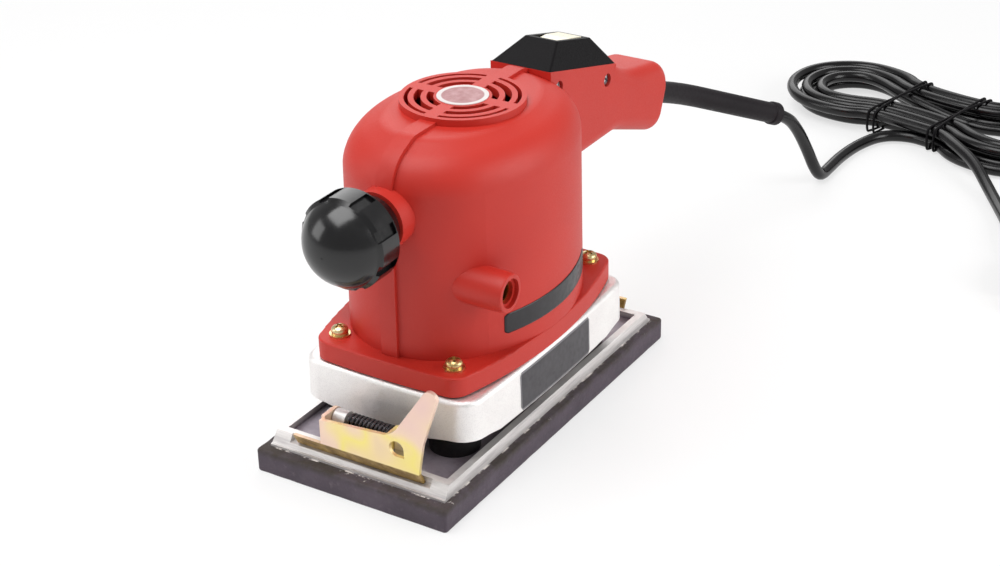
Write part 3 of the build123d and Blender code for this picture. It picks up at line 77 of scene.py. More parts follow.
# Cord: one lead from the strain relief through the bundle to the plug
CORD_RADIUS = 3.4 * MM
CORD_STEPS = 8
CORD_ROUNDNESS = 5
RELIEF_BEND = Vector((0, 200, 86.4)) * MM
RELIEF_END = Vector((30, 271.6, 53.3)) * MM
RELIEF_RUN = 8 * MM
LEAD_ROUTE = [(35.6, 288.0, 40.0), (38.4, 297.8, 24.0), (41.5, 303.0, 10.6), (43.0, 309.0, 3.9),
              (42.6, 321.0, 3.6), (42.0, 341.0, 3.6), (44.5, 362.0, 3.8), (51.5, 380.5, 4.2)]
TAIL_ROUTE = [(102.5, 369.3, 12.0), (118.2, 356.0, 10.0), (132.5, 338.0, 5.0),
              (145.5, 319.0, 3.6), (156.7, 299.8, 4.4), (166.6, 280.8, 6.8)]
PLUG_HEADING = math.radians(-62.5)
PLUG_RUN = 21 * MM

# Bundle: loops folded to and fro in two layers, drawn in at the waist
HANK_CENTRE = Vector((69.5, 416.0, 0)) * MM
HANK_TURN = math.radians(-12)
HANK_LOW = 4.4 * MM
HANK_HIGH = 12.0 * MM
HANK_LOOPS = 3
HANK_STEP = 9 * MM
HANK_OUTER = 40 * MM
HANK_DRAW_IN = 11.2 * MM
HANK_WAIST = 24 * MM
HANK_RUN = 55.8 * MM
HANK_START = 18 * MM
HANK_END = 10 * MM
HANK_EXIT = 15 * MM
FOLD_SHARE = math.tan(math.pi / 8)

# Wire ties round the bundle. The smooth line of a strand keeps 7/8 of its draw-in at the waist.
TIE_WIRE = 0.75 * MM
TIE_SKEW = 2.2 * MM
TIE_INSET = 3 * MM
TIE_FOOT = 0.3
TIE_GAP = 0.3 * MM
TIE_LIFT = 0.05 * MM
TIE_STEPS = 10
TIE_ROUNDNESS = 3
WAIST_KEPT = 7 / 8

# Bare stickers on the right-hand side, with a thin rim
STICKER_LIFT = 0.25 * MM
STICKER_COLUMNS = 48
STICKER_ROWS = 12
STICKER_SLIMNESS = 4.0
STICKER_RIM = (0.035, 0.05)
SCUFF_GAIN = 1.5
SCUFF_LIFT = 0.004
PLATE_SPAN = (-31 * MM, 30 * MM)
PLATE_HEIGHTS = (25.0 * MM, 43.9 * MM)
PLATE_CORNER = 1.2 * MM
STRIP_SPAN = (-34 * MM, 36 * MM)
STRIP_FRONT = (63.5 * MM, 73.0 * MM)
STRIP_REAR = (65.0 * MM, 75.4 * MM)
STRIP_CORNER = 1.6 * MM

# Badge: where its rim starts, as shares of its radius
BADGE_RIM = (0.8, 0.84)

# Cross-head screws: recess and dome as shares of the head's radius and height
CROSS_REACH = 0.62
CROSS_WIDTH = 0.3
CROSS_DEPTH = 0.55
DOME_POWER = 2.4
TAPER_POWER = 3.0
TAPER_SHARE = 0.12
HEAD_CORNERS = 40
SHANK_CORNERS = 24
SCREW_SEED = 4
FLANGE_CROWN = 0.42
FLANGE_SHANK = 2.0 * MM
HANDLE_CROWN = 0.35
HANDLE_SHANK = 1.75 * MM
HANDLE_HEAD = 2.2 * MM
SHARP_ANGLE = math.radians(32)

# Coil springs on the clamp pins
SPRING_WIRE = 0.7 * MM
SPRING_TURNS = 11.0
SPRING_STEPS = 28
SPRING_CORNERS = 12

# Clamp: height of the jaw bent back under its plate, and where its lever starts
JAW_HEIGHT = 5.8 * MM
JAW_FADE = 0.3 * MM
LEVER_HEIGHT = 14.0 * MM

# Tray: how far its floor lies above its foot and inside its ends, and where its stain fades out
TRAY_FLOOR = 3.0 * MM
RAIL_WIDTH = 3.6 * MM
END_WIDTH = 8.4 * MM
STAIN_RISE = (0.2 * MM, 1.6 * MM)
STAIN_EDGE = 0.3 * MM

# Handle behind the switch cover: its rounded edges and the stretch that slopes to the grip
HANDLE_EDGE = 7.0 * MM
EDGE_STEPS = 8
SHOULDER_START = 107.0 * MM
SHOULDER_END = 141.0 * MM
SHOULDER_ROWS = 56
SHOULDER_DEPTH = 9.0 * MM
SHOULDER_PROUD = 0.05 * MM
SHOULDER_SINK = 0.15 * MM
SINK_POWER = 6
CREST_ASIDE = 0.5 * MM

# Rubber pad: its worn edges, and a darker band and pale chips given as depths under its top
PAD_CORNER = 1.5 * MM
PAD_CORNER_STEPS = 6
PAD_EDGE = 0.9 * MM
PAD_EASE = 0.3
PAD_SPACING = 2.0 * MM
PAD_LEVELS = 6
PAD_WEAR = 0.22 * MM
PAD_TOP_WEAR = 2.2
PAD_WEAR_SCALE = 160
PAD_SIDE_LEDGE = 4.0 * MM
PAD_END_LEDGE = 5.5 * MM
DARK_BAND = (3.5 * MM, 0.4 * MM)
CHIP_BAND = (1.2 * MM, 0.5 * MM)
GLUE_EDGE = (0.5 * MM, 0.9 * MM)

# Range that most of a noise texture lies in
NOISE_LOW = 0.3
NOISE_HIGH = 0.7

# Start of a search ray, well outside the part, and the distance at which loose corners are one
RAY_START = 0.3
MERGE_DISTANCE = 0.001 * MM


def display(red, green, blue):
    """Linear colour of a shade given as it looks on a screen, 0 to 255."""
    shades = []
    for value in (red, green, blue):
        share = value / 255
        shades.append(share / 12.92 if share <= 0.04045 else ((share + 0.055) / 1.055) ** 2.4)
    return tuple(shades)


class ShaderTree:
    """Nodes and links of one shader."""

    def __init__(self, tree):
        self.tree = tree

    def add(self, kind, **settings):
        node = self.tree.nodes.new(kind)
        for key, value in settings.items():
            setattr(node, key, value)
        return node

    def link(self, source, target):
        self.tree.links.new(source, target)

    def feed(self, socket, value):
        """Sets a socket to a number or a colour, or links it."""
        if isinstance(value, (int, float)):
            socket.default_value = value
        elif isinstance(value, tuple):
            socket.default_value = (*value, 1)
        else:
            self.link(value, socket)

    def maths(self, operation, *values):
        node = self.add("ShaderNodeMath", operation=operation)
        for socket, value in zip(node.inputs, values):
            self.feed(socket, value)
        return node.outputs["Value"]

    def spread(self, value, low, high, start=0.0, end=1.0, kind="LINEAR"):
        """Value mapped from its range to low and high, clamped."""
        node = self.add("ShaderNodeMapRange", interpolation_type=kind)
        node.inputs["From Min"].default_value = start
        node.inputs["From Max"].default_value = end
        node.inputs["To Min"].default_value = low
        node.inputs["To Max"].default_value = high
        self.link(value, node.inputs["Value"])
        return node.outputs["Result"]


class Finish(ShaderTree):
    """A procedural finish: a Principled shader fed by textures on Object coordinates."""

    def __init__(self, name, colour, roughness, metallic=0.0, **sockets):
        self.material = bpy.data.materials.new(name)
        self.material.use_nodes = True
        super().__init__(self.material.node_tree)
        self.shader = self.tree.nodes["Principled BSDF"]
        self.shader.inputs["Base Color"].default_value = (*colour, 1)
        self.shader.inputs["Roughness"].default_value = roughness
        self.shader.inputs["Metallic"].default_value = metallic
        for socket, value in sockets.items():
            self.shader.inputs[socket.replace("_", " ")].default_value = value
        self.place = self.add("ShaderNodeTexCoord").outputs["Object"]

    def stretched(self, scale):
        """Object coordinates, stretched."""
        mapping = self.add("ShaderNodeMapping")
        mapping.inputs["Scale"].default_value = scale
        self.link(self.place, mapping.inputs["Vector"])
        return mapping.outputs["Vector"]

    def axes(self, place=None):
        node = self.add("ShaderNodeSeparateXYZ")
        self.link(place or self.place, node.inputs["Vector"])
        return node.outputs["X"], node.outputs["Y"], node.outputs["Z"]

    def apart(self, axis, centre):
        """Distance from a centre along one axis."""
        return self.maths("ABSOLUTE", self.maths("SUBTRACT", axis, centre))

    def noise(self, scale, detail=3.0, roughness=0.55, place=None):
        texture = self.add("ShaderNodeTexNoise")
        texture.inputs["Scale"].default_value = scale
        texture.inputs["Detail"].default_value = detail
        texture.inputs["Roughness"].default_value = roughness
        self.link(place or self.place, texture.inputs["Vector"])
        return texture.outputs["Fac"]

    def cells(self, scale):
        texture = self.add("ShaderNodeTexVoronoi")
        texture.inputs["Scale"].default_value = scale
        self.link(self.place, texture.inputs["Vector"])
        return texture.outputs["Distance"]

    def ramp(self, value, *stops):
        """Colour ramp of (place, colour) stops."""
        node = self.add("ShaderNodeValToRGB")
        elements = node.color_ramp.elements
        while len(elements) < len(stops):
            elements.new(0.5)
        for element, (position, colour) in zip(elements, stops):
            element.position = position
            element.color = (*colour, 1)
        self.link(value, node.inputs["Fac"])
        return node.outputs["Color"]

    def drift(self, texture, dark, light):
        """Colour that drifts between two shades with a noise."""
        return self.ramp(texture, (NOISE_LOW, dark), (NOISE_HIGH, light))

    def mix(self, share, first, second):
        """Mix of two colours, each a socket or a colour."""
        node = self.add("ShaderNodeMix", data_type="RGBA")
        for socket, value in ((node.inputs[0], share), (node.inputs[6], first), (node.inputs[7], second)):
            self.feed(socket, value)
        return node.outputs[2]

    def colour(self, socket):
        self.link(socket, self.shader.inputs["Base Color"])

    def roughen(self, texture, low, high, start=NOISE_LOW, end=NOISE_HIGH):
        """Roughness from low to high over the range of a texture."""
        self.link(self.spread(texture, low, high, start, end), self.shader.inputs["Roughness"])

    def bump(self, height, depth):
        node = self.add("ShaderNodeBump")
        node.inputs["Strength"].default_value = 1.0
        node.inputs["Distance"].default_value = depth
        self.link(height, node.inputs["Height"])
        self.link(node.outputs["Normal"], self.shader.inputs["Normal"])


def moulded(name, light, dark, roughness, grain=1400, depth=0.02 * MM, **sockets):
    """Moulded plastic or rubber: slow drift of shade, fine grain in gloss and surface."""
    finish = Finish(name, light, roughness, **sockets)
    finish.colour(finish.drift(finish.noise(22, detail=4), dark, light))
    fine = finish.noise(grain, detail=2)
    finish.roughen(fine, roughness * 0.85, roughness * 1.2)
    finish.bump(fine, depth)
    return finish


def metal(name, light, dark, roughness, grain=900, stretch=(1, 1, 1)):
    """Bare or plated metal with a drawn or ground grain."""
    finish = Finish(name, light, roughness, metallic=1.0)
    lay = finish.stretched(stretch)
    finish.colour(finish.drift(finish.noise(90, detail=4, place=lay), dark, light))
    fine = finish.noise(grain, place=lay)
    finish.roughen(fine, roughness * 0.75, roughness * 1.3)
    finish.bump(fine, depth=0.015 * MM)
    return finish


def red_shell():
    finish = Finish("red_shell", display(195, 44, 33), roughness=0.5, Specular_IOR_Level=0.45)
    finish.colour(finish.drift(finish.noise(14), display(191, 41, 30), display(200, 47, 34)))
    grain = finish.noise(1900, detail=2)
    finish.roughen(grain, 0.44, 0.58)
    finish.bump(grain, depth=0.016 * MM)
    return finish


def silver_paint():
    """Silver paint over a sand casting: fine sparkle, soft pits and dull patches."""
    finish = Finish("silver_paint", display(248, 245, 243), roughness=0.5, metallic=0.85)
    patches = finish.noise(45, detail=5)
    tone = finish.ramp(patches, (0.3, display(240, 236, 235)), (0.65, display(252, 250, 248)))
    flakes = finish.ramp(finish.cells(1900), (0.0, display(192, 189, 190)), (0.45, display(255, 253, 251)))
    finish.colour(finish.mix(0.4, tone, flakes))
    sand = finish.noise(620, detail=5, roughness=0.65)
    finish.roughen(sand, 0.4, 0.6)
    finish.bump(sand, depth=0.16 * MM)
    return finish


def tray_casting():
    """Bare casting round a stained floor, by height over the pad and distance from the walls."""
    finish = Finish("tray_casting", display(205, 205, 205), roughness=0.4, metallic=0.45)
    x, y, z = finish.axes()
    stain = finish.noise(70, detail=5)
    floor = finish.ramp(stain, (0.3, display(122, 113, 122)), (0.62, display(156, 146, 156)),
                        (0.75, display(202, 195, 199)))
    drawn = finish.noise(420, detail=5, roughness=0.65, place=finish.stretched((0.06, 0.06, 1)))
    rail = finish.ramp(drawn, (0.3, display(186, 181, 182)), (0.5, display(224, 220, 218)),
                       (0.7, display(244, 240, 239)))
    low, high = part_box("platen")
    middle = (low + high) / 2
    bare = finish.spread(z, 0, 1, *(low.z + TRAY_FLOOR + rise for rise in STAIN_RISE))
    for axis, centre, reach in ((x, middle.x, high.x - middle.x - RAIL_WIDTH),
                                (y, middle.y, high.y - middle.y - END_WIDTH)):
        wall = finish.spread(finish.apart(axis, centre), 0, 1, reach, reach + STAIN_EDGE)
        bare = finish.maths("MAXIMUM", bare, wall)
    finish.colour(finish.mix(bare, floor, rail))
    finish.roughen(finish.noise(1100), 0.28, 0.5)
    finish.bump(finish.noise(420, detail=5), depth=0.08 * MM)
    return finish


def gold_plate():
    """Yellow passivated steel with its drifting pink and yellow sheen, darker brown at the bent-back jaw."""
    finish = Finish("gold_plate", display(226, 200, 170), roughness=0.36, metallic=0.6)
    sheen = finish.ramp(finish.noise(38, detail=1), (0.3, display(242, 208, 201)),
                        (0.44, display(249, 221, 193)), (0.55, display(252, 234, 140)),
                        (0.66, display(250, 225, 173)), (0.8, display(232, 204, 187)))
    low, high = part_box("front_clamp")
    z = finish.axes()[2]
    lever = finish.spread(z, 0.0, 0.7, low.z + LEVER_HEIGHT, high.z)
    rosy = finish.mix(lever, sheen, display(244, 210, 195))
    jaw = low.z + JAW_HEIGHT
    bent = finish.spread(z, 1.0, 0.0, jaw - JAW_FADE, jaw + JAW_FADE)
    # Below the jaw's height the colour turns a darker brown
    jaw_brown = finish.ramp(finish.noise(190, detail=5, roughness=0.65), (0.35, display(134, 104, 50)),
                         (0.55, display(180, 148, 84)), (0.7, display(208, 180, 122)))
    finish.colour(finish.mix(bent, rosy, jaw_brown))
    fine = finish.noise(420)
    finish.roughen(fine, 0.3, 0.4)
    finish.bump(fine, depth=0.008 * MM)
    return finish


def pad_rubber():
    """Dark rubber, streaked with dust, darker in patches just under its top and chipped at its top, with pale
    glue under the tray's edge.
    """
    finish = Finish("pad_rubber", display(84, 76, 86), roughness=0.75)
    x, y, z = finish.axes()
    body = finish.drift(finish.noise(40, detail=5), display(69, 60, 69), display(91, 80, 91))
    dust = finish.noise(260, detail=6, roughness=0.7)
    dusty = finish.mix(finish.spread(dust, 0.0, 0.3, 0.56, 0.75), body, display(143, 132, 139))
    low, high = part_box("sanding_pad")
    # A darker brown band just under the top, broken up in patches
    top_band = finish.spread(z, 0.0, 1.0, *(high.z - depth for depth in DARK_BAND))
    patchy = finish.spread(finish.noise(90, detail=5, roughness=0.65), 0.3, 0.95, 0.4, 0.6)
    banded = finish.mix(finish.maths("MULTIPLY", top_band, patchy), dusty, display(60, 52, 46))
    middle = (low + high) / 2
    half = (high - low) / 2
    past_side = finish.maths("SUBTRACT", finish.apart(x, middle.x), half.x - PAD_SIDE_LEDGE)
    past_end = finish.maths("SUBTRACT", finish.apart(y, middle.y), half.y - PAD_END_LEDGE)
    glue = finish.spread(finish.maths("MAXIMUM", past_side, past_end), 1.0, 0.0, *GLUE_EDGE)
    broken = finish.spread(finish.noise(110, detail=6, roughness=0.75), 0.0, 1.0, 0.53, 0.58)
    rim = finish.spread(z, 0.0, 1.0, *(high.z - depth for depth in CHIP_BAND))
    chips = finish.spread(finish.noise(240, detail=6, roughness=0.7), 0.0, 0.7, 0.66, 0.7)
    chipped = finish.maths("MULTIPLY", rim, chips)
    pale = finish.maths("MAXIMUM", chipped, finish.maths("MULTIPLY", broken, glue))
    finish.colour(finish.mix(pale, banded, display(230, 222, 216)))
    finish.roughen(dust, 0.6, 0.9)
    finish.bump(finish.noise(700, detail=5, roughness=0.65), depth=0.15 * MM)
    return finish


def black_gloss():
    finish = Finish("black_gloss", display(12, 11, 13), roughness=0.2, Specular_IOR_Level=0.6)
    haze = finish.noise(120, detail=5)
    finish.colour(finish.ramp(haze, (0.35, display(6, 5, 7)), (0.7, display(12, 11, 13))))
    finish.roughen(haze, 0.16, 0.25, start=0.35)
    finish.bump(finish.noise(60, detail=2), depth=0.03 * MM)
    return finish


def badge_face():
    """Round badge: pale rim round a bare rosy face."""
    finish = Finish("badge_face", display(226, 190, 190), roughness=0.4, Specular_IOR_Level=0.3)
    x, y, _ = finish.axes()
    low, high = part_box("vent_badge")
    radius = (high.x - low.x) / 2
    square = finish.maths("ADD", finish.maths("MULTIPLY", x, x), finish.maths("MULTIPLY", y, y))
    across = finish.maths("POWER", square, 0.5)
    face = finish.drift(finish.noise(300, detail=4), display(160, 106, 108), display(184, 138, 140))
    rim = finish.spread(across, 0, 1, *(radius * share for share in BADGE_RIM))
    finish.colour(finish.mix(rim, face, display(214, 208, 206)))
    finish.roughen(finish.noise(500), 0.34, 0.5)
    return finish


def sticker(name, ground, rim):
    """Bare printed film with a thin rim, laid out on the piece's own UV map."""
    finish = Finish(name, ground, roughness=0.35)
    u, v, _ = finish.axes(finish.add("ShaderNodeUVMap", uv_map="sheet").outputs["UV"])
    inset = [finish.maths("MINIMUM", side, finish.maths("SUBTRACT", 1.0, side)) for side in (u, v)]
    near = finish.maths("MINIMUM", finish.maths("MULTIPLY", inset[0], STICKER_SLIMNESS), inset[1])
    line = finish.spread(near, 1, 0, *STICKER_RIM)
    scuffed = tuple(SCUFF_GAIN * shade + SCUFF_LIFT for shade in ground)
    film = finish.ramp(finish.noise(160, detail=5), (0.3, ground), (0.75, scuffed))
    finish.colour(finish.mix(line, film, rim))
    finish.roughen(finish.noise(420, detail=4), 0.28, 0.46)
    return finish


def dress_nodes():
    """Gives every carried-over piece its finish, in place of the plain ones it came with."""
    for plain in list(bpy.data.materials):
        if plain.name != "floor_paper":
            bpy.data.materials.remove(plain)
    red = red_shell()
    cast = silver_paint()
    tray = tray_casting()
    gold = gold_plate()
    black = moulded("black_cover", display(16, 14, 16), display(10, 8, 11), 0.5, Specular_IOR_Level=0.12)
    ivory = moulded("ivory_key", display(246, 240, 220), display(238, 230, 204), 0.3)
    rubber = moulded("black_rubber", display(20, 18, 20), display(12, 11, 12), 0.55, grain=900,
                     depth=0.03 * MM, Specular_IOR_Level=0.25)
    sleeve = moulded("relief_rubber", display(36, 32, 35), display(26, 22, 25), 0.5, grain=700,
                     depth=0.03 * MM, Specular_IOR_Level=0.15)
    plated = metal("gold_hardware", display(232, 214, 168), display(208, 180, 122), 0.3)
    bright = metal("bright_steel", display(206, 206, 208), display(176, 176, 180), 0.25)
    zinc = metal("zinc_steel", display(214, 214, 214), display(180, 182, 188), 0.3)
    dark = metal("dark_steel", display(86, 82, 84), display(52, 49, 52), 0.4)
    lamination = metal("lamination_steel", display(128, 128, 132), display(92, 92, 98), 0.45,
                       stretch=(1, 1, 8))
    brass = metal("brass", display(206, 172, 96), display(176, 138, 70), 0.3)
    copper = metal("enamelled_copper", display(186, 104, 58), display(142, 70, 36), 0.35, grain=2200,
                   stretch=(1, 1, 6))
    seal = moulded("seal_sheet", display(44, 42, 42), display(30, 28, 28), 0.8)
    can = moulded("capacitor_can", display(186, 188, 190), display(164, 166, 170), 0.4)
    finishes = {
        red: ["motor_housing", "handle_cover"],
        cast: ["base_housing"],
        tray: ["platen"],
        gold: ["front_clamp", "rear_clamp"],
        plated: ["spring_washers", "flat_washers", "flange_screws", "handle_screws"],
        black: ["switch_cover", "switch_body", "terminal_block", "cooling_fan", "plug_body"],
        ivory: ["switch_rocker"],
        rubber: ["rubber_posts", "hank_ties", "cord_lead", "cord_hank", "cord_tail"],
        sleeve: ["strain_relief"],
        bright: ["upper_bearing_outer", "upper_bearing_inner", "lower_bearing_outer", "lower_bearing_inner",
                 "eccentric_bearing_outer", "eccentric_bearing_inner", "motor_shaft"],
        zinc: ["knob_stud", "front_clamp_pin", "rear_clamp_pin", "post_screws", "stator_screws",
               "cord_clamp_screws"],
        dark: ["front_clamp_spring", "rear_clamp_spring", "counterweight"],
        lamination: ["stator_core", "rotor_core"],
        brass: ["thread_inserts", "plug_pins"],
        copper: ["stator_windings"],
        seal: ["gasket"],
        can: ["run_capacitor", "cord_clamp"],
        pad_rubber(): ["sanding_pad"],
        black_gloss(): ["front_knob"],
        badge_face(): ["vent_badge"],
    }
    for finish, names in finishes.items():
        for name in names:
            slots = nodes[name].data.materials
            slots.clear()
            slots.append(finish.material)
    return {finish.material.name: finish.material for finish in finishes}


def new_piece(name, mesh, material):
    """Object of a finished mesh, at the origin."""
    mesh.materials.clear()
    mesh.materials.append(material)
    piece = bpy.data.objects.new(name, mesh)
    scene.collection.objects.link(piece)
    return piece


def built_piece(name, mesh, material):
    """Object of a mesh that was built up in code."""
    data = bpy.data.meshes.new(name)
    mesh.to_mesh(data)
    mesh.free()
    return new_piece(name, data, material)


def plain_mesh(piece):
    """Evaluated mesh of an object, as a mesh of its own."""
    bpy.context.view_layer.update()
    graph = bpy.context.evaluated_depsgraph_get()
    return bpy.data.meshes.new_from_object(piece.evaluated_get(graph))


def skin(mesh, rings):
    """Walls round a row of rings, smooth, with a flat face at each end."""
    for lower, upper in zip(rings, rings[1:]):
        for k in range(len(lower)):
            n = (k + 1) % len(lower)
            mesh.faces.new([lower[k], lower[n], upper[n], upper[k]])
    mesh.faces.new(list(reversed(rings[0])))
    mesh.faces.new(rings[-1])
    bmesh.ops.recalc_face_normals(mesh, faces=mesh.faces)
    for face in mesh.faces:
        face.smooth = len(face.verts) == 4


def surface_of(name):
    """Search tree of a CAD piece's faces."""
    mesh = nodes[name].data
    return BVHTree.FromPolygons([v.co for v in mesh.vertices], [p.vertices for p in mesh.polygons])


def set_camera():
    turn, rise, roll = (math.radians(a) for a in (CAMERA_AZIMUTH, CAMERA_ELEVATION, CAMERA_ROLL))
    back = Vector((math.sin(turn) * math.cos(rise), -math.cos(turn) * math.cos(rise), math.sin(rise)))
    level = Vector((math.cos(turn), math.sin(turn), 0))
    above = back.cross(level)
    right = level * math.cos(roll) + above * math.sin(roll)
    up = above * math.cos(roll) - level * math.sin(roll)
    data = bpy.data.cameras.new("camera")
    data.sensor_width = SENSOR_WIDTH
    data.lens = FOCAL_SHARE * SENSOR_WIDTH
    data.clip_start = CAMERA_NEAR
    camera = bpy.data.objects.new("camera", data)
    scene.collection.objects.link(camera)
    camera.matrix_world = Matrix.Translation(CAMERA_TARGET + back * CAMERA_DISTANCE) @ Matrix(
        (right, up, back)).transposed().to_4x4()
    scene.camera = camera


def add_lamp(name, place, width, power):
    """Square soft box that faces the part."""
    data = bpy.data.lights.new(name, "AREA")
    data.shape = "SQUARE"
    data.size = width
    data.energy = power
    lamp = bpy.data.objects.new(name, data)
    scene.collection.objects.link(lamp)
    lamp.location = place
    lamp.rotation_euler = (LAMP_AIM - Vector(place)).to_track_quat("-Z", "Y").to_euler()


def set_light():
    world = bpy.data.worlds.new("studio")
    scene.world = world
    world.use_nodes = True
    sky = ShaderTree(world.node_tree)
    ground = sky.tree.nodes["Background"]
    ground.inputs["Color"].default_value = (1, 1, 1, 1)
    path = sky.add("ShaderNodeLightPath").outputs
    seen = sky.maths("MAXIMUM", path["Is Camera Ray"], path["Is Transmission Ray"])
    mirrored = sky.maths("MULTIPLY", path["Is Glossy Ray"], WORLD_MIRRORED)
    white = sky.maths("MAXIMUM", seen, mirrored)
    sky.link(sky.spread(white, WORLD_LIGHT, 1.0), ground.inputs["Strength"])
    for name, (place, width, power) in LAMPS.items():
        add_lamp(name, place, width, power)
    scene.view_settings.view_transform = "Standard"


def set_floor():
    """White sweep that keeps the part's shadow."""
    mesh = bpy.data.meshes.new("floor")
    corners = [(x * FLOOR_REACH, y * FLOOR_REACH, 0) for x, y in ((-1, -1), (1, -1), (1, 1), (-1, 1))]
    mesh.from_pydata(corners, [], [(0, 1, 2, 3)])
    material = bpy.data.materials.new("floor_paper")
    material.use_nodes = True
    material.node_tree.nodes.clear()
    sweep = ShaderTree(material.node_tree)
    out = sweep.add("ShaderNodeOutputMaterial")
    paper = sweep.add("ShaderNodeBsdfDiffuse")
    paper.inputs["Color"].default_value = (FLOOR_SHADE, FLOOR_SHADE, FLOOR_SHADE, 1)
    glow = sweep.add("ShaderNodeEmission")
    path = sweep.add("ShaderNodeLightPath").outputs
    seen = sweep.maths("MAXIMUM", path["Is Camera Ray"], path["Is Glossy Ray"])
    near = sweep.maths("MULTIPLY", seen, FLOOR_GLOW)
    # Far from the part the sweep is plain white, so no horizon shows
    distance = sweep.add("ShaderNodeVectorMath", operation="LENGTH")
    sweep.link(sweep.add("ShaderNodeTexCoord").outputs["Object"], distance.inputs[0])
    lift = sweep.spread(distance.outputs["Value"], FLOOR_GLOW, 1.0, *FLOOR_FADE, kind="SMOOTHSTEP")
    far = sweep.maths("MULTIPLY", lift, path["Is Camera Ray"])
    mix = sweep.add("ShaderNodeMixShader")
    sweep.link(sweep.maths("MAXIMUM", near, far), mix.inputs["Fac"])
    sweep.link(paper.outputs[0], mix.inputs[1])
    sweep.link(glow.outputs[0], mix.inputs[2])
    sweep.link(mix.outputs[0], out.inputs["Surface"])
    floor = new_piece("floor", mesh, material)


def hank_place(x, y, z):
    """Point of the bundle, from its own axes."""
    return HANK_CENTRE + Vector((x * math.cos(HANK_TURN) - y * math.sin(HANK_TURN),
                                 x * math.sin(HANK_TURN) + y * math.cos(HANK_TURN), z))


def drawn_in(y):
    """Where a strand that ends at y passes the waist."""
    return y - math.copysign(HANK_DRAW_IN, y)


def hank_route():
    """Control points of the bundle: in along the lower layer, out along the upper one."""
    near = [HANK_OUTER - k * HANK_STEP for k in range(HANK_LOOPS)]
    tracks = []
    for track in near:
        tracks += [(-track, HANK_LOW), (track - HANK_STEP / 2, HANK_LOW)]
    for track in reversed(near):
        tracks += [(-track, HANK_HIGH), (track + HANK_STEP / 2, HANK_HIGH)]
    tracks.pop()
    climb = 2 * HANK_LOOPS - 1
    route = []
    for k, ((end_y, z), (next_y, next_z)) in enumerate(zip(tracks, tracks[1:])):
        heading = 1 if end_y < 0 else -1
        bend = (next_y - end_y) / 2
        out_z = HANK_HIGH if k == climb else z
        route.append((heading * HANK_WAIST, drawn_in(end_y), out_z))
        # Each fold is half of an eight-sided outline, so its line comes out nearly round
        for out, across in ((-FOLD_SHARE, 0), (FOLD_SHARE, 0), (1, 1 - FOLD_SHARE),
                            (1, 1 + FOLD_SHARE), (FOLD_SHARE, 2)):
            route.append((heading * (HANK_RUN + out * abs(bend)), end_y + bend * across, out_z))
        route.append((heading * (HANK_RUN - FOLD_SHARE * abs(bend)), next_y, next_z))
        route.append((heading * HANK_WAIST, drawn_in(next_y), next_z))
    return [hank_place(*p) for p in route]


def cord_route():
    """Control points of the whole cord, from inside the strain relief to the plug."""
    heading = (RELIEF_END - RELIEF_BEND).normalized()
    track = HANK_DRAW_IN - HANK_OUTER
    lead = [RELIEF_END - heading * RELIEF_RUN / 2, RELIEF_END + heading * RELIEF_RUN]
    lead += [Vector(p) * MM for p in LEAD_ROUTE]
    lead += [hank_place(x, track, HANK_LOW) for x in (HANK_START - HANK_EXIT, HANK_START)]
    tail = [hank_place(x, track, HANK_HIGH) for x in (HANK_END, HANK_END + HANK_EXIT)]
    tail += [Vector(p) * MM for p in TAIL_ROUTE]
    entry = tail[-1] + Vector((math.cos(PLUG_HEADING), math.sin(PLUG_HEADING), 0)) * PLUG_RUN
    return lead + hank_route() + tail + [entry]


def smooth_line(name, points, radius, steps, roundness, closed=False):
    """Round cord or wire on a NURBS spline with the given control points."""
    data = bpy.data.curves.new(name, "CURVE")
    data.dimensions = "3D"
    data.resolution_u = steps
    data.bevel_depth = radius
    data.bevel_resolution = roundness
    data.use_fill_caps = not closed
    spline = data.splines.new("NURBS")
    spline.points.add(len(points) - 1)
    for target, point in zip(spline.points, points):
        target.co = (*point, 1)
    spline.order_u = 3
    spline.use_endpoint_u = not closed
    spline.use_cyclic_u = closed
    piece = bpy.data.objects.new(name, data)
    scene.collection.objects.link(piece)
    return piece


def add_cord():
    finish = moulded("cord_jacket", display(8, 6, 8), display(4, 3, 5), 0.24, grain=60,
                     Specular_IOR_Level=0.4)
    cord = smooth_line("cord", cord_route(), CORD_RADIUS, CORD_STEPS, CORD_ROUNDNESS)
    cord.data.materials.append(finish.material)
    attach(cord, "housing")
    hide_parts("cord_lead", "cord_hank", "cord_tail")


def tie_ring(x, lean):
    """Control points of one wire round the outer strands at the bundle's waist."""
    near = HANK_OUTER - HANK_DRAW_IN * WAIST_KEPT
    far = near - HANK_STEP / 2
    hug = CORD_RADIUS + TIE_WIRE + TIE_GAP
    crest, shoulder = HANK_HIGH + hug, HANK_HIGH + FOLD_SHARE * hug
    foot, ground = HANK_LOW - TIE_FOOT * hug, TIE_WIRE + TIE_LIFT
    back, front = x - lean * TIE_SKEW, x + lean * TIE_SKEW
    ring = [(back, far + hug, foot), (back, far + hug, shoulder), (back, far + FOLD_SHARE * hug, crest),
            (front, -near - FOLD_SHARE * hug, crest), (front, -near - hug, shoulder),
            (front, -near - hug, foot), (front, -near - TIE_FOOT * hug, ground),
            (back, far + TIE_FOOT * hug, ground)]
    return [hank_place(*p) for p in ring]


def add_ties(material):
    """Two doubled wires round the bundle's waist."""
    mesh = bmesh.new()
    for side in (-1, 1):
        for lean in (-1, 1):
            ring = tie_ring(side * (HANK_WAIST - TIE_INSET), lean)
            wire = smooth_line("tie_wire", ring, TIE_WIRE, TIE_STEPS, TIE_ROUNDNESS, closed=True)
            mesh.from_mesh(plain_mesh(wire))
            bpy.data.objects.remove(wire)
    piece = built_piece("wire_ties", mesh, material)
    piece.data.shade_smooth()
    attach(piece, "housing")
    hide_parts("hank_ties")
    return piece


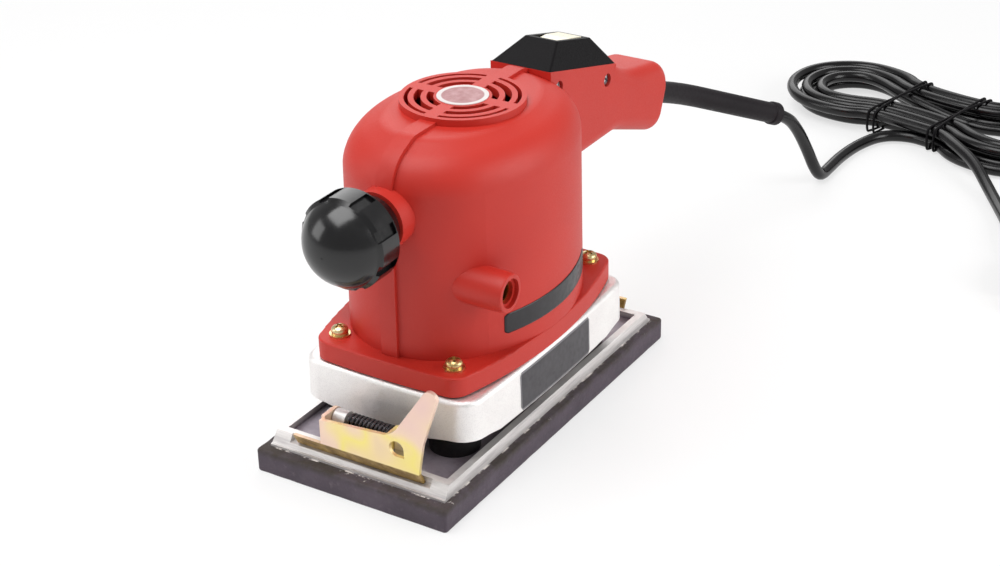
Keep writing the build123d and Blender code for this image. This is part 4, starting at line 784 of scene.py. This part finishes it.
def side_sticker(name, carrier, span, front, rear, corner, material):
    """Thin film laid on the right-hand wall of a piece, between two heights that may slope."""
    tree = surface_of(carrier)
    columns, rows = STICKER_COLUMNS, STICKER_ROWS
    mesh = bmesh.new()
    sheet = mesh.loops.layers.uv.new("sheet")
    grid, uvs = {}, {}
    for i in range(columns + 1):
        for j in range(rows + 1):
            u, v = i / columns, j / rows
            rim = min(v, 1 - v) * (front[1] - front[0])
            inset = corner - math.sqrt(max(0.0, corner**2 - max(0.0, corner - rim) ** 2))
            y = span[0] + inset + (span[1] - span[0] - 2 * inset) * u
            share = (y - span[0]) / (span[1] - span[0])
            low, high = (a + (b - a) * share for a, b in zip(front, rear))
            start = Vector((RAY_START, y, low + (high - low) * v))
            spot, normal, _, _ = tree.ray_cast(start, Vector((-1, 0, 0)))
            grid[i, j] = [mesh.verts.new(spot + normal * lift) for lift in (STICKER_LIFT, -STICKER_LIFT)]
            for vert in grid[i, j]:
                uvs[vert] = (u, v)
    for i in range(columns):
        for j in range(rows):
            corners = [grid[a] for a in ((i, j), (i + 1, j), (i + 1, j + 1), (i, j + 1))]
            mesh.faces.new([c[0] for c in corners])
            mesh.faces.new([c[1] for c in reversed(corners)])
    border = [(i, 0) for i in range(columns)] + [(columns, j) for j in range(rows)]
    border += [(i, rows) for i in range(columns, 0, -1)] + [(0, j) for j in range(rows, 0, -1)]
    for a, b in zip(border, border[1:] + border[:1]):
        mesh.faces.new([grid[a][1], grid[b][1], grid[b][0], grid[a][0]])
    bmesh.ops.recalc_face_normals(mesh, faces=mesh.faces)
    for face in mesh.faces:
        face.smooth = True
        for loop in face.loops:
            loop[sheet].uv = uvs[loop.vert]
    piece = built_piece(name, mesh, material)
    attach(piece, "housing")


class ShapeTree:
    """A Geometry Nodes tree with named inputs, from points to a finished mesh."""

    def __init__(self, name, **inputs):
        self.group = bpy.data.node_groups.new(name, "GeometryNodeTree")
        face = self.group.interface
        face.new_socket("Geometry", in_out="INPUT", socket_type="NodeSocketGeometry")
        face.new_socket("Geometry", in_out="OUTPUT", socket_type="NodeSocketGeometry")
        self.names = {}
        for key, value in inputs.items():
            kind = "Material" if value is None else "Vector" if isinstance(value, tuple) else "Float"
            socket = face.new_socket(key, in_out="INPUT", socket_type="NodeSocket" + kind)
            self.names[key] = socket.identifier
        self.start = self.group.nodes.new("NodeGroupInput")
        self.end = self.group.nodes.new("NodeGroupOutput")
        self.defaults = inputs

    def given(self, key):
        return self.start.outputs[key]

    def add(self, kind, values=None, **settings):
        """Node with settings and with input values or links, by socket name or number."""
        node = self.group.nodes.new(kind)
        for key, value in settings.items():
            setattr(node, key, value)
        for key, value in (values or {}).items():
            socket = node.inputs[key]
            for item in value if isinstance(value, list) else [value]:
                if isinstance(item, bpy.types.NodeSocket):
                    self.group.links.new(item, socket)
                else:
                    socket.default_value = item
        return node.outputs[0]

    def maths(self, operation, first, second=0.0):
        return self.add("ShaderNodeMath", {0: first, 1: second}, operation=operation)

    def finish(self, shape):
        solid = self.add("GeometryNodeRealizeInstances", {"Geometry": shape})
        solid = self.add("GeometryNodeSetMaterial", {"Geometry": solid, "Material": self.given("Material")})
        self.group.links.new(solid, self.end.inputs["Geometry"])

    def make(self, name, points, **values):
        """Mesh of the tree's result on the given points."""
        seed = bpy.data.meshes.new(name)
        seed.from_pydata(points, [], [])
        carrier = bpy.data.objects.new(name, seed)
        scene.collection.objects.link(carrier)
        modifier = carrier.modifiers.new("shape", "NODES")
        modifier.node_group = self.group
        for key, value in {**self.defaults, **values}.items():
            modifier[self.names[key]] = value
        mesh = plain_mesh(carrier)
        bpy.data.objects.remove(carrier)
        mesh.shade_smooth()
        mesh.set_sharp_from_angle(angle=SHARP_ANGLE)
        return mesh


def domed_head(tree, radius, height):
    """Screw head with a domed, slightly tapered top, centred on its own middle."""
    blank = tree.add("GeometryNodeMeshCylinder", {
        "Vertices": HEAD_CORNERS, "Side Segments": 6, "Fill Segments": 8, "Radius": radius, "Depth": height})
    place = tree.add("GeometryNodeInputPosition")
    split = tree.group.nodes.new("ShaderNodeSeparateXYZ")
    tree.group.links.new(place, split.inputs[0])
    x, y, z = split.outputs
    rise = tree.maths("ADD", tree.maths("DIVIDE", z, height), 0.5)
    square = tree.maths("ADD", tree.maths("MULTIPLY", x, x), tree.maths("MULTIPLY", y, y))
    across = tree.maths("DIVIDE", tree.maths("SQRT", square), radius)
    dome = tree.maths("MULTIPLY", tree.maths("POWER", across, DOME_POWER), rise)
    sink = tree.maths("MULTIPLY", dome, tree.given("Crown"))
    taper = tree.maths("MULTIPLY", tree.maths("POWER", rise, TAPER_POWER), TAPER_SHARE)
    draw = tree.maths("SUBTRACT", 1.0, taper)
    domed = tree.add("ShaderNodeCombineXYZ", {
        0: tree.maths("MULTIPLY", x, draw), 1: tree.maths("MULTIPLY", y, draw),
        2: tree.maths("SUBTRACT", z, sink)})
    return tree.add("GeometryNodeSetPosition", {"Geometry": blank, "Position": domed})


def cross_screw_tree():
    """Pan-head screws with a cross recess, one on each point, heads along Turn's Z."""
    tree = ShapeTree("cross_screws", **{
        "Head Radius": 0.0, "Head Height": 0.0, "Crown": 0.0, "Shank Radius": 0.0, "Shank Length": 0.0,
        "Turn": (0.0, 0.0, 0.0), "Material": None})
    radius, height = tree.given("Head Radius"), tree.given("Head Height")
    head = domed_head(tree, radius, height)
    reach = tree.maths("MULTIPLY", radius, 2 * CROSS_REACH)
    width = tree.maths("MULTIPLY", radius, CROSS_WIDTH)
    depth = tree.maths("MULTIPLY", height, 2 * CROSS_DEPTH)
    top = tree.add("ShaderNodeCombineXYZ", {2: tree.maths("MULTIPLY", height, 0.5)})
    for sizes in ({0: reach, 1: width, 2: depth}, {0: width, 1: reach, 2: depth}):
        bar = tree.add("GeometryNodeMeshCube", {"Size": tree.add("ShaderNodeCombineXYZ", sizes)})
        bar = tree.add("GeometryNodeTransform", {"Geometry": bar, "Translation": top})
        head = tree.add("GeometryNodeMeshBoolean", {"Mesh 1": head, "Mesh 2": bar}, operation="DIFFERENCE")
    head = tree.add("GeometryNodeTransform", {"Geometry": head, "Translation": top})
    length = tree.given("Shank Length")
    shank = tree.add("GeometryNodeMeshCylinder", {
        "Vertices": SHANK_CORNERS, "Radius": tree.given("Shank Radius"), "Depth": length})
    under = tree.add("ShaderNodeCombineXYZ", {2: tree.maths("MULTIPLY", length, -0.5)})
    shank = tree.add("GeometryNodeTransform", {"Geometry": shank, "Translation": under})
    screw = tree.add("GeometryNodeJoinGeometry", {"Geometry": [shank, head]})
    spin = tree.group.nodes.new("FunctionNodeRandomValue")
    spin.inputs["Seed"].default_value = SCREW_SEED
    spin.inputs[3].default_value = math.tau
    lie = tree.add("FunctionNodeEulerToRotation", {0: tree.given("Turn")})
    upright = tree.add("ShaderNodeCombineXYZ", {2: spin.outputs[1]})
    own = tree.add("FunctionNodeEulerToRotation", {0: upright})
    turn = tree.add("FunctionNodeRotateRotation", {0: lie, 1: own}, rotation_space="LOCAL")
    tree.finish(tree.add("GeometryNodeInstanceOnPoints", {
        "Points": tree.given("Geometry"), "Instance": screw, "Rotation": turn}))
    return tree


def islands(name):
    """Lowest and highest corners of each separate solid of a CAD piece."""
    mesh = bmesh.new()
    mesh.from_mesh(nodes[name].data)
    bmesh.ops.remove_doubles(mesh, verts=mesh.verts, dist=MERGE_DISTANCE)
    found, seen = [], set()
    for vert in mesh.verts:
        if vert in seen:
            continue
        stack, group = [vert], []
        seen.add(vert)
        while stack:
            current = stack.pop()
            group.append(current.co.copy())
            for edge in current.link_edges:
                other = edge.other_vert(current)
                if other not in seen:
                    seen.add(other)
                    stack.append(other)
        found.append(tuple(Vector(f(p[k] for p in group) for k in range(3)) for f in (min, max)))
    mesh.free()
    return found


def add_screws(gold, zinc):
    """Cross-head screws over the plain ones: four on the flange, two in the handle."""
    tree = cross_screw_tree()
    flange = islands("flange_screws")
    washer_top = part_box("spring_washers")[1].z
    low, high = flange[0]
    head = high.z - washer_top
    points = [((a.x + b.x) / 2, (a.y + b.y) / 2, washer_top) for a, b in flange]
    mesh = tree.make("flange_cross_screws", points, **{
        "Head Radius": (high.x - low.x) / 2, "Head Height": head, "Crown": head * FLANGE_CROWN,
        "Shank Radius": FLANGE_SHANK, "Shank Length": washer_top - low.z, "Material": gold})
    piece = new_piece("flange_cross_screws", mesh, gold)
    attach(piece, "housing")
    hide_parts("flange_screws")
    handle = islands("handle_screws")
    low, high = handle[0]
    points = [(b.x - HANDLE_HEAD, (a.y + b.y) / 2, (a.z + b.z) / 2) for a, b in handle]
    mesh = tree.make("handle_cross_screws", points, **{
        "Head Radius": (high.y - low.y) / 2, "Head Height": HANDLE_HEAD, "Crown": HANDLE_HEAD * HANDLE_CROWN,
        "Shank Radius": HANDLE_SHANK, "Shank Length": high.x - HANDLE_HEAD - low.x,
        "Turn": (0.0, math.pi / 2, 0.0), "Material": zinc})
    piece = new_piece("handle_cross_screws", mesh, zinc)
    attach(piece, "housing")
    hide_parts("handle_screws")


def coil_tree():
    """Round-wire coils, one on each point, wound along X."""
    tree = ShapeTree("coil_springs", **{
        "Coil Radius": 0.0, "Wire Radius": 0.0, "Length": 0.0, "Turns": 0.0, "Material": None})
    radius = tree.given("Coil Radius")
    helix = tree.add("GeometryNodeCurveSpiral", {
        "Resolution": SPRING_STEPS, "Rotations": tree.given("Turns"), "Start Radius": radius,
        "End Radius": radius, "Height": tree.given("Length")})
    section = tree.add("GeometryNodeCurvePrimitiveCircle", {
        "Resolution": SPRING_CORNERS, "Radius": tree.given("Wire Radius")})
    coil = tree.add("GeometryNodeCurveToMesh", {
        "Curve": helix, "Profile Curve": section, "Fill Caps": True})
    lie = tree.add("FunctionNodeEulerToRotation", {0: (0.0, math.pi / 2, 0.0)})
    tree.finish(tree.add("GeometryNodeInstanceOnPoints", {
        "Points": tree.given("Geometry"), "Instance": coil, "Rotation": lie}))
    return tree


def add_springs(material):
    """Coils round the clamp pins, in place of the plain ones."""
    tree = coil_tree()
    for end in ("front", "rear"):
        plain = end + "_clamp_spring"
        low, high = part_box(plain)
        middle = (low + high) / 2
        start = (low.x + SPRING_WIRE, middle.y, middle.z)
        mesh = tree.make(end + "_coil", [start], **{
            "Coil Radius": (high.z - low.z) / 2 - SPRING_WIRE, "Wire Radius": SPRING_WIRE,
            "Length": high.x - low.x - 2 * SPRING_WIRE, "Turns": SPRING_TURNS, "Material": material})
        piece = new_piece(end + "_coil", mesh, material)
        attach(piece, "platen")
        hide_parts(plain)


def shoulder_section(half_width):
    """Half section of the handle's top, middle outwards: reach from the middle and depth under the top."""
    radius = HANDLE_EDGE
    points = [(0.0, 0.0)]
    for step in range(EDGE_STEPS + 1):
        angle = math.radians(90 * step / EDGE_STEPS)
        points.append((half_width - radius + radius * math.sin(angle), radius - radius * math.cos(angle)))
    return points + [(half_width, SHOULDER_DEPTH)]


def add_shoulders(material):
    """Rounded shoulders of the handle between the switch cover's seat and the grip."""
    tree = surface_of("motor_housing")
    crest = []
    for k in range(-1, SHOULDER_ROWS + 2):
        y = SHOULDER_START + (SHOULDER_END - SHOULDER_START) * k / SHOULDER_ROWS
        crest.append(tree.ray_cast(Vector((-CREST_ASIDE, y, RAY_START)), Vector((0, 0, -1)))[0])
    half_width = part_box("handle_cover")[1].x
    mesh = bmesh.new()
    rows = []
    for k, (before, here, after) in enumerate(zip(crest, crest[1:], crest[2:])):
        run = (after - before).normalized()
        down = Vector((0, run.z, -run.y))
        # A hair proud over the middle, and sunk at both ends so that no edge shows there
        sink = SHOULDER_SINK * abs(2 * k / SHOULDER_ROWS - 1) ** SINK_POWER - SHOULDER_PROUD
        half = shoulder_section(half_width - sink)
        section = [(-x, d) for x, d in reversed(half[1:])] + half
        rows.append([mesh.verts.new(Vector((x, here.y, here.z)) + down * (d + sink)) for x, d in section])
    skin(mesh, rows)
    piece = built_piece("handle_shoulders", mesh, material)
    piece.data.set_sharp_from_angle(angle=SHARP_ANGLE)
    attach(piece, "housing")


def rounded_outline(half_x, half_y, radius, spacing):
    """Points round a rectangle with round corners, about evenly spaced."""
    points = []
    for sx, sy, start in ((1, 1, 0), (-1, 1, 90), (-1, -1, 180), (1, -1, 270)):
        for step in range(PAD_CORNER_STEPS + 1):
            angle = math.radians(start + 90 * step / PAD_CORNER_STEPS)
            points.append(Vector((sx * (half_x - radius) + radius * math.cos(angle),
                                  sy * (half_y - radius) + radius * math.sin(angle))))
    outline = []
    for a, b in zip(points, points[1:] + points[:1]):
        parts = max(1, round((b - a).length / spacing))
        outline += [a + (b - a) * k / parts for k in range(parts)]
    return outline


def add_pad(material):
    """Rubber pad with soft, slightly worn edges."""
    low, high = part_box("sanding_pad")
    middle = (low + high) / 2
    half = (high - low) / 2
    ease = PAD_EDGE * PAD_EASE
    levels = [(low.z, PAD_EDGE), (low.z + ease, ease), (low.z + PAD_EDGE, 0.0)]
    levels += [(low.z + (high.z - low.z) * k / PAD_LEVELS, 0.0) for k in range(1, PAD_LEVELS)]
    levels += [(high.z - PAD_EDGE, 0.0), (high.z - ease, ease), (high.z, PAD_EDGE)]
    mesh = bmesh.new()
    rings = []
    outline = rounded_outline(half.x, half.y, PAD_CORNER, PAD_SPACING)
    for z, inset in levels:
        ring = []
        for point in outline:
            spot = Vector((middle.x + point.x * (1 - inset / half.x),
                           middle.y + point.y * (1 - inset / half.y), z))
            wear = max(0.0, noise.noise(spot * PAD_WEAR_SCALE))
            if inset > 0 and z > middle.z:
                wear *= PAD_TOP_WEAR
            pull = Vector((-point.x / half.x, -point.y / half.y, 0)) * PAD_WEAR * wear
            ring.append(mesh.verts.new(spot + pull))
        rings.append(ring)
    skin(mesh, rings)
    piece = built_piece("rubber_pad", mesh, material)
    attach(piece, "platen")
    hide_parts("sanding_pad")


def main():
    set_camera()
    set_light()
    set_floor()
    finishes = dress_nodes()
    ties = add_ties(finishes["black_cover"])
    add_cord()
    add_screws(finishes["gold_hardware"], finishes["zinc_steel"])
    add_springs(finishes["dark_steel"])
    add_pad(finishes["pad_rubber"])
    add_shoulders(finishes["red_shell"])
    plate = sticker("label_film", display(46, 43, 48), display(140, 138, 142))
    side_sticker("label_plate", "base_housing", PLATE_SPAN, PLATE_HEIGHTS, PLATE_HEIGHTS, PLATE_CORNER,
                 plate.material)
    strip = sticker("strip_film", display(22, 20, 24), display(28, 26, 30))
    side_sticker("side_strip", "motor_housing", STRIP_SPAN, STRIP_FRONT, STRIP_REAR, STRIP_CORNER,
                 strip.material)


main()
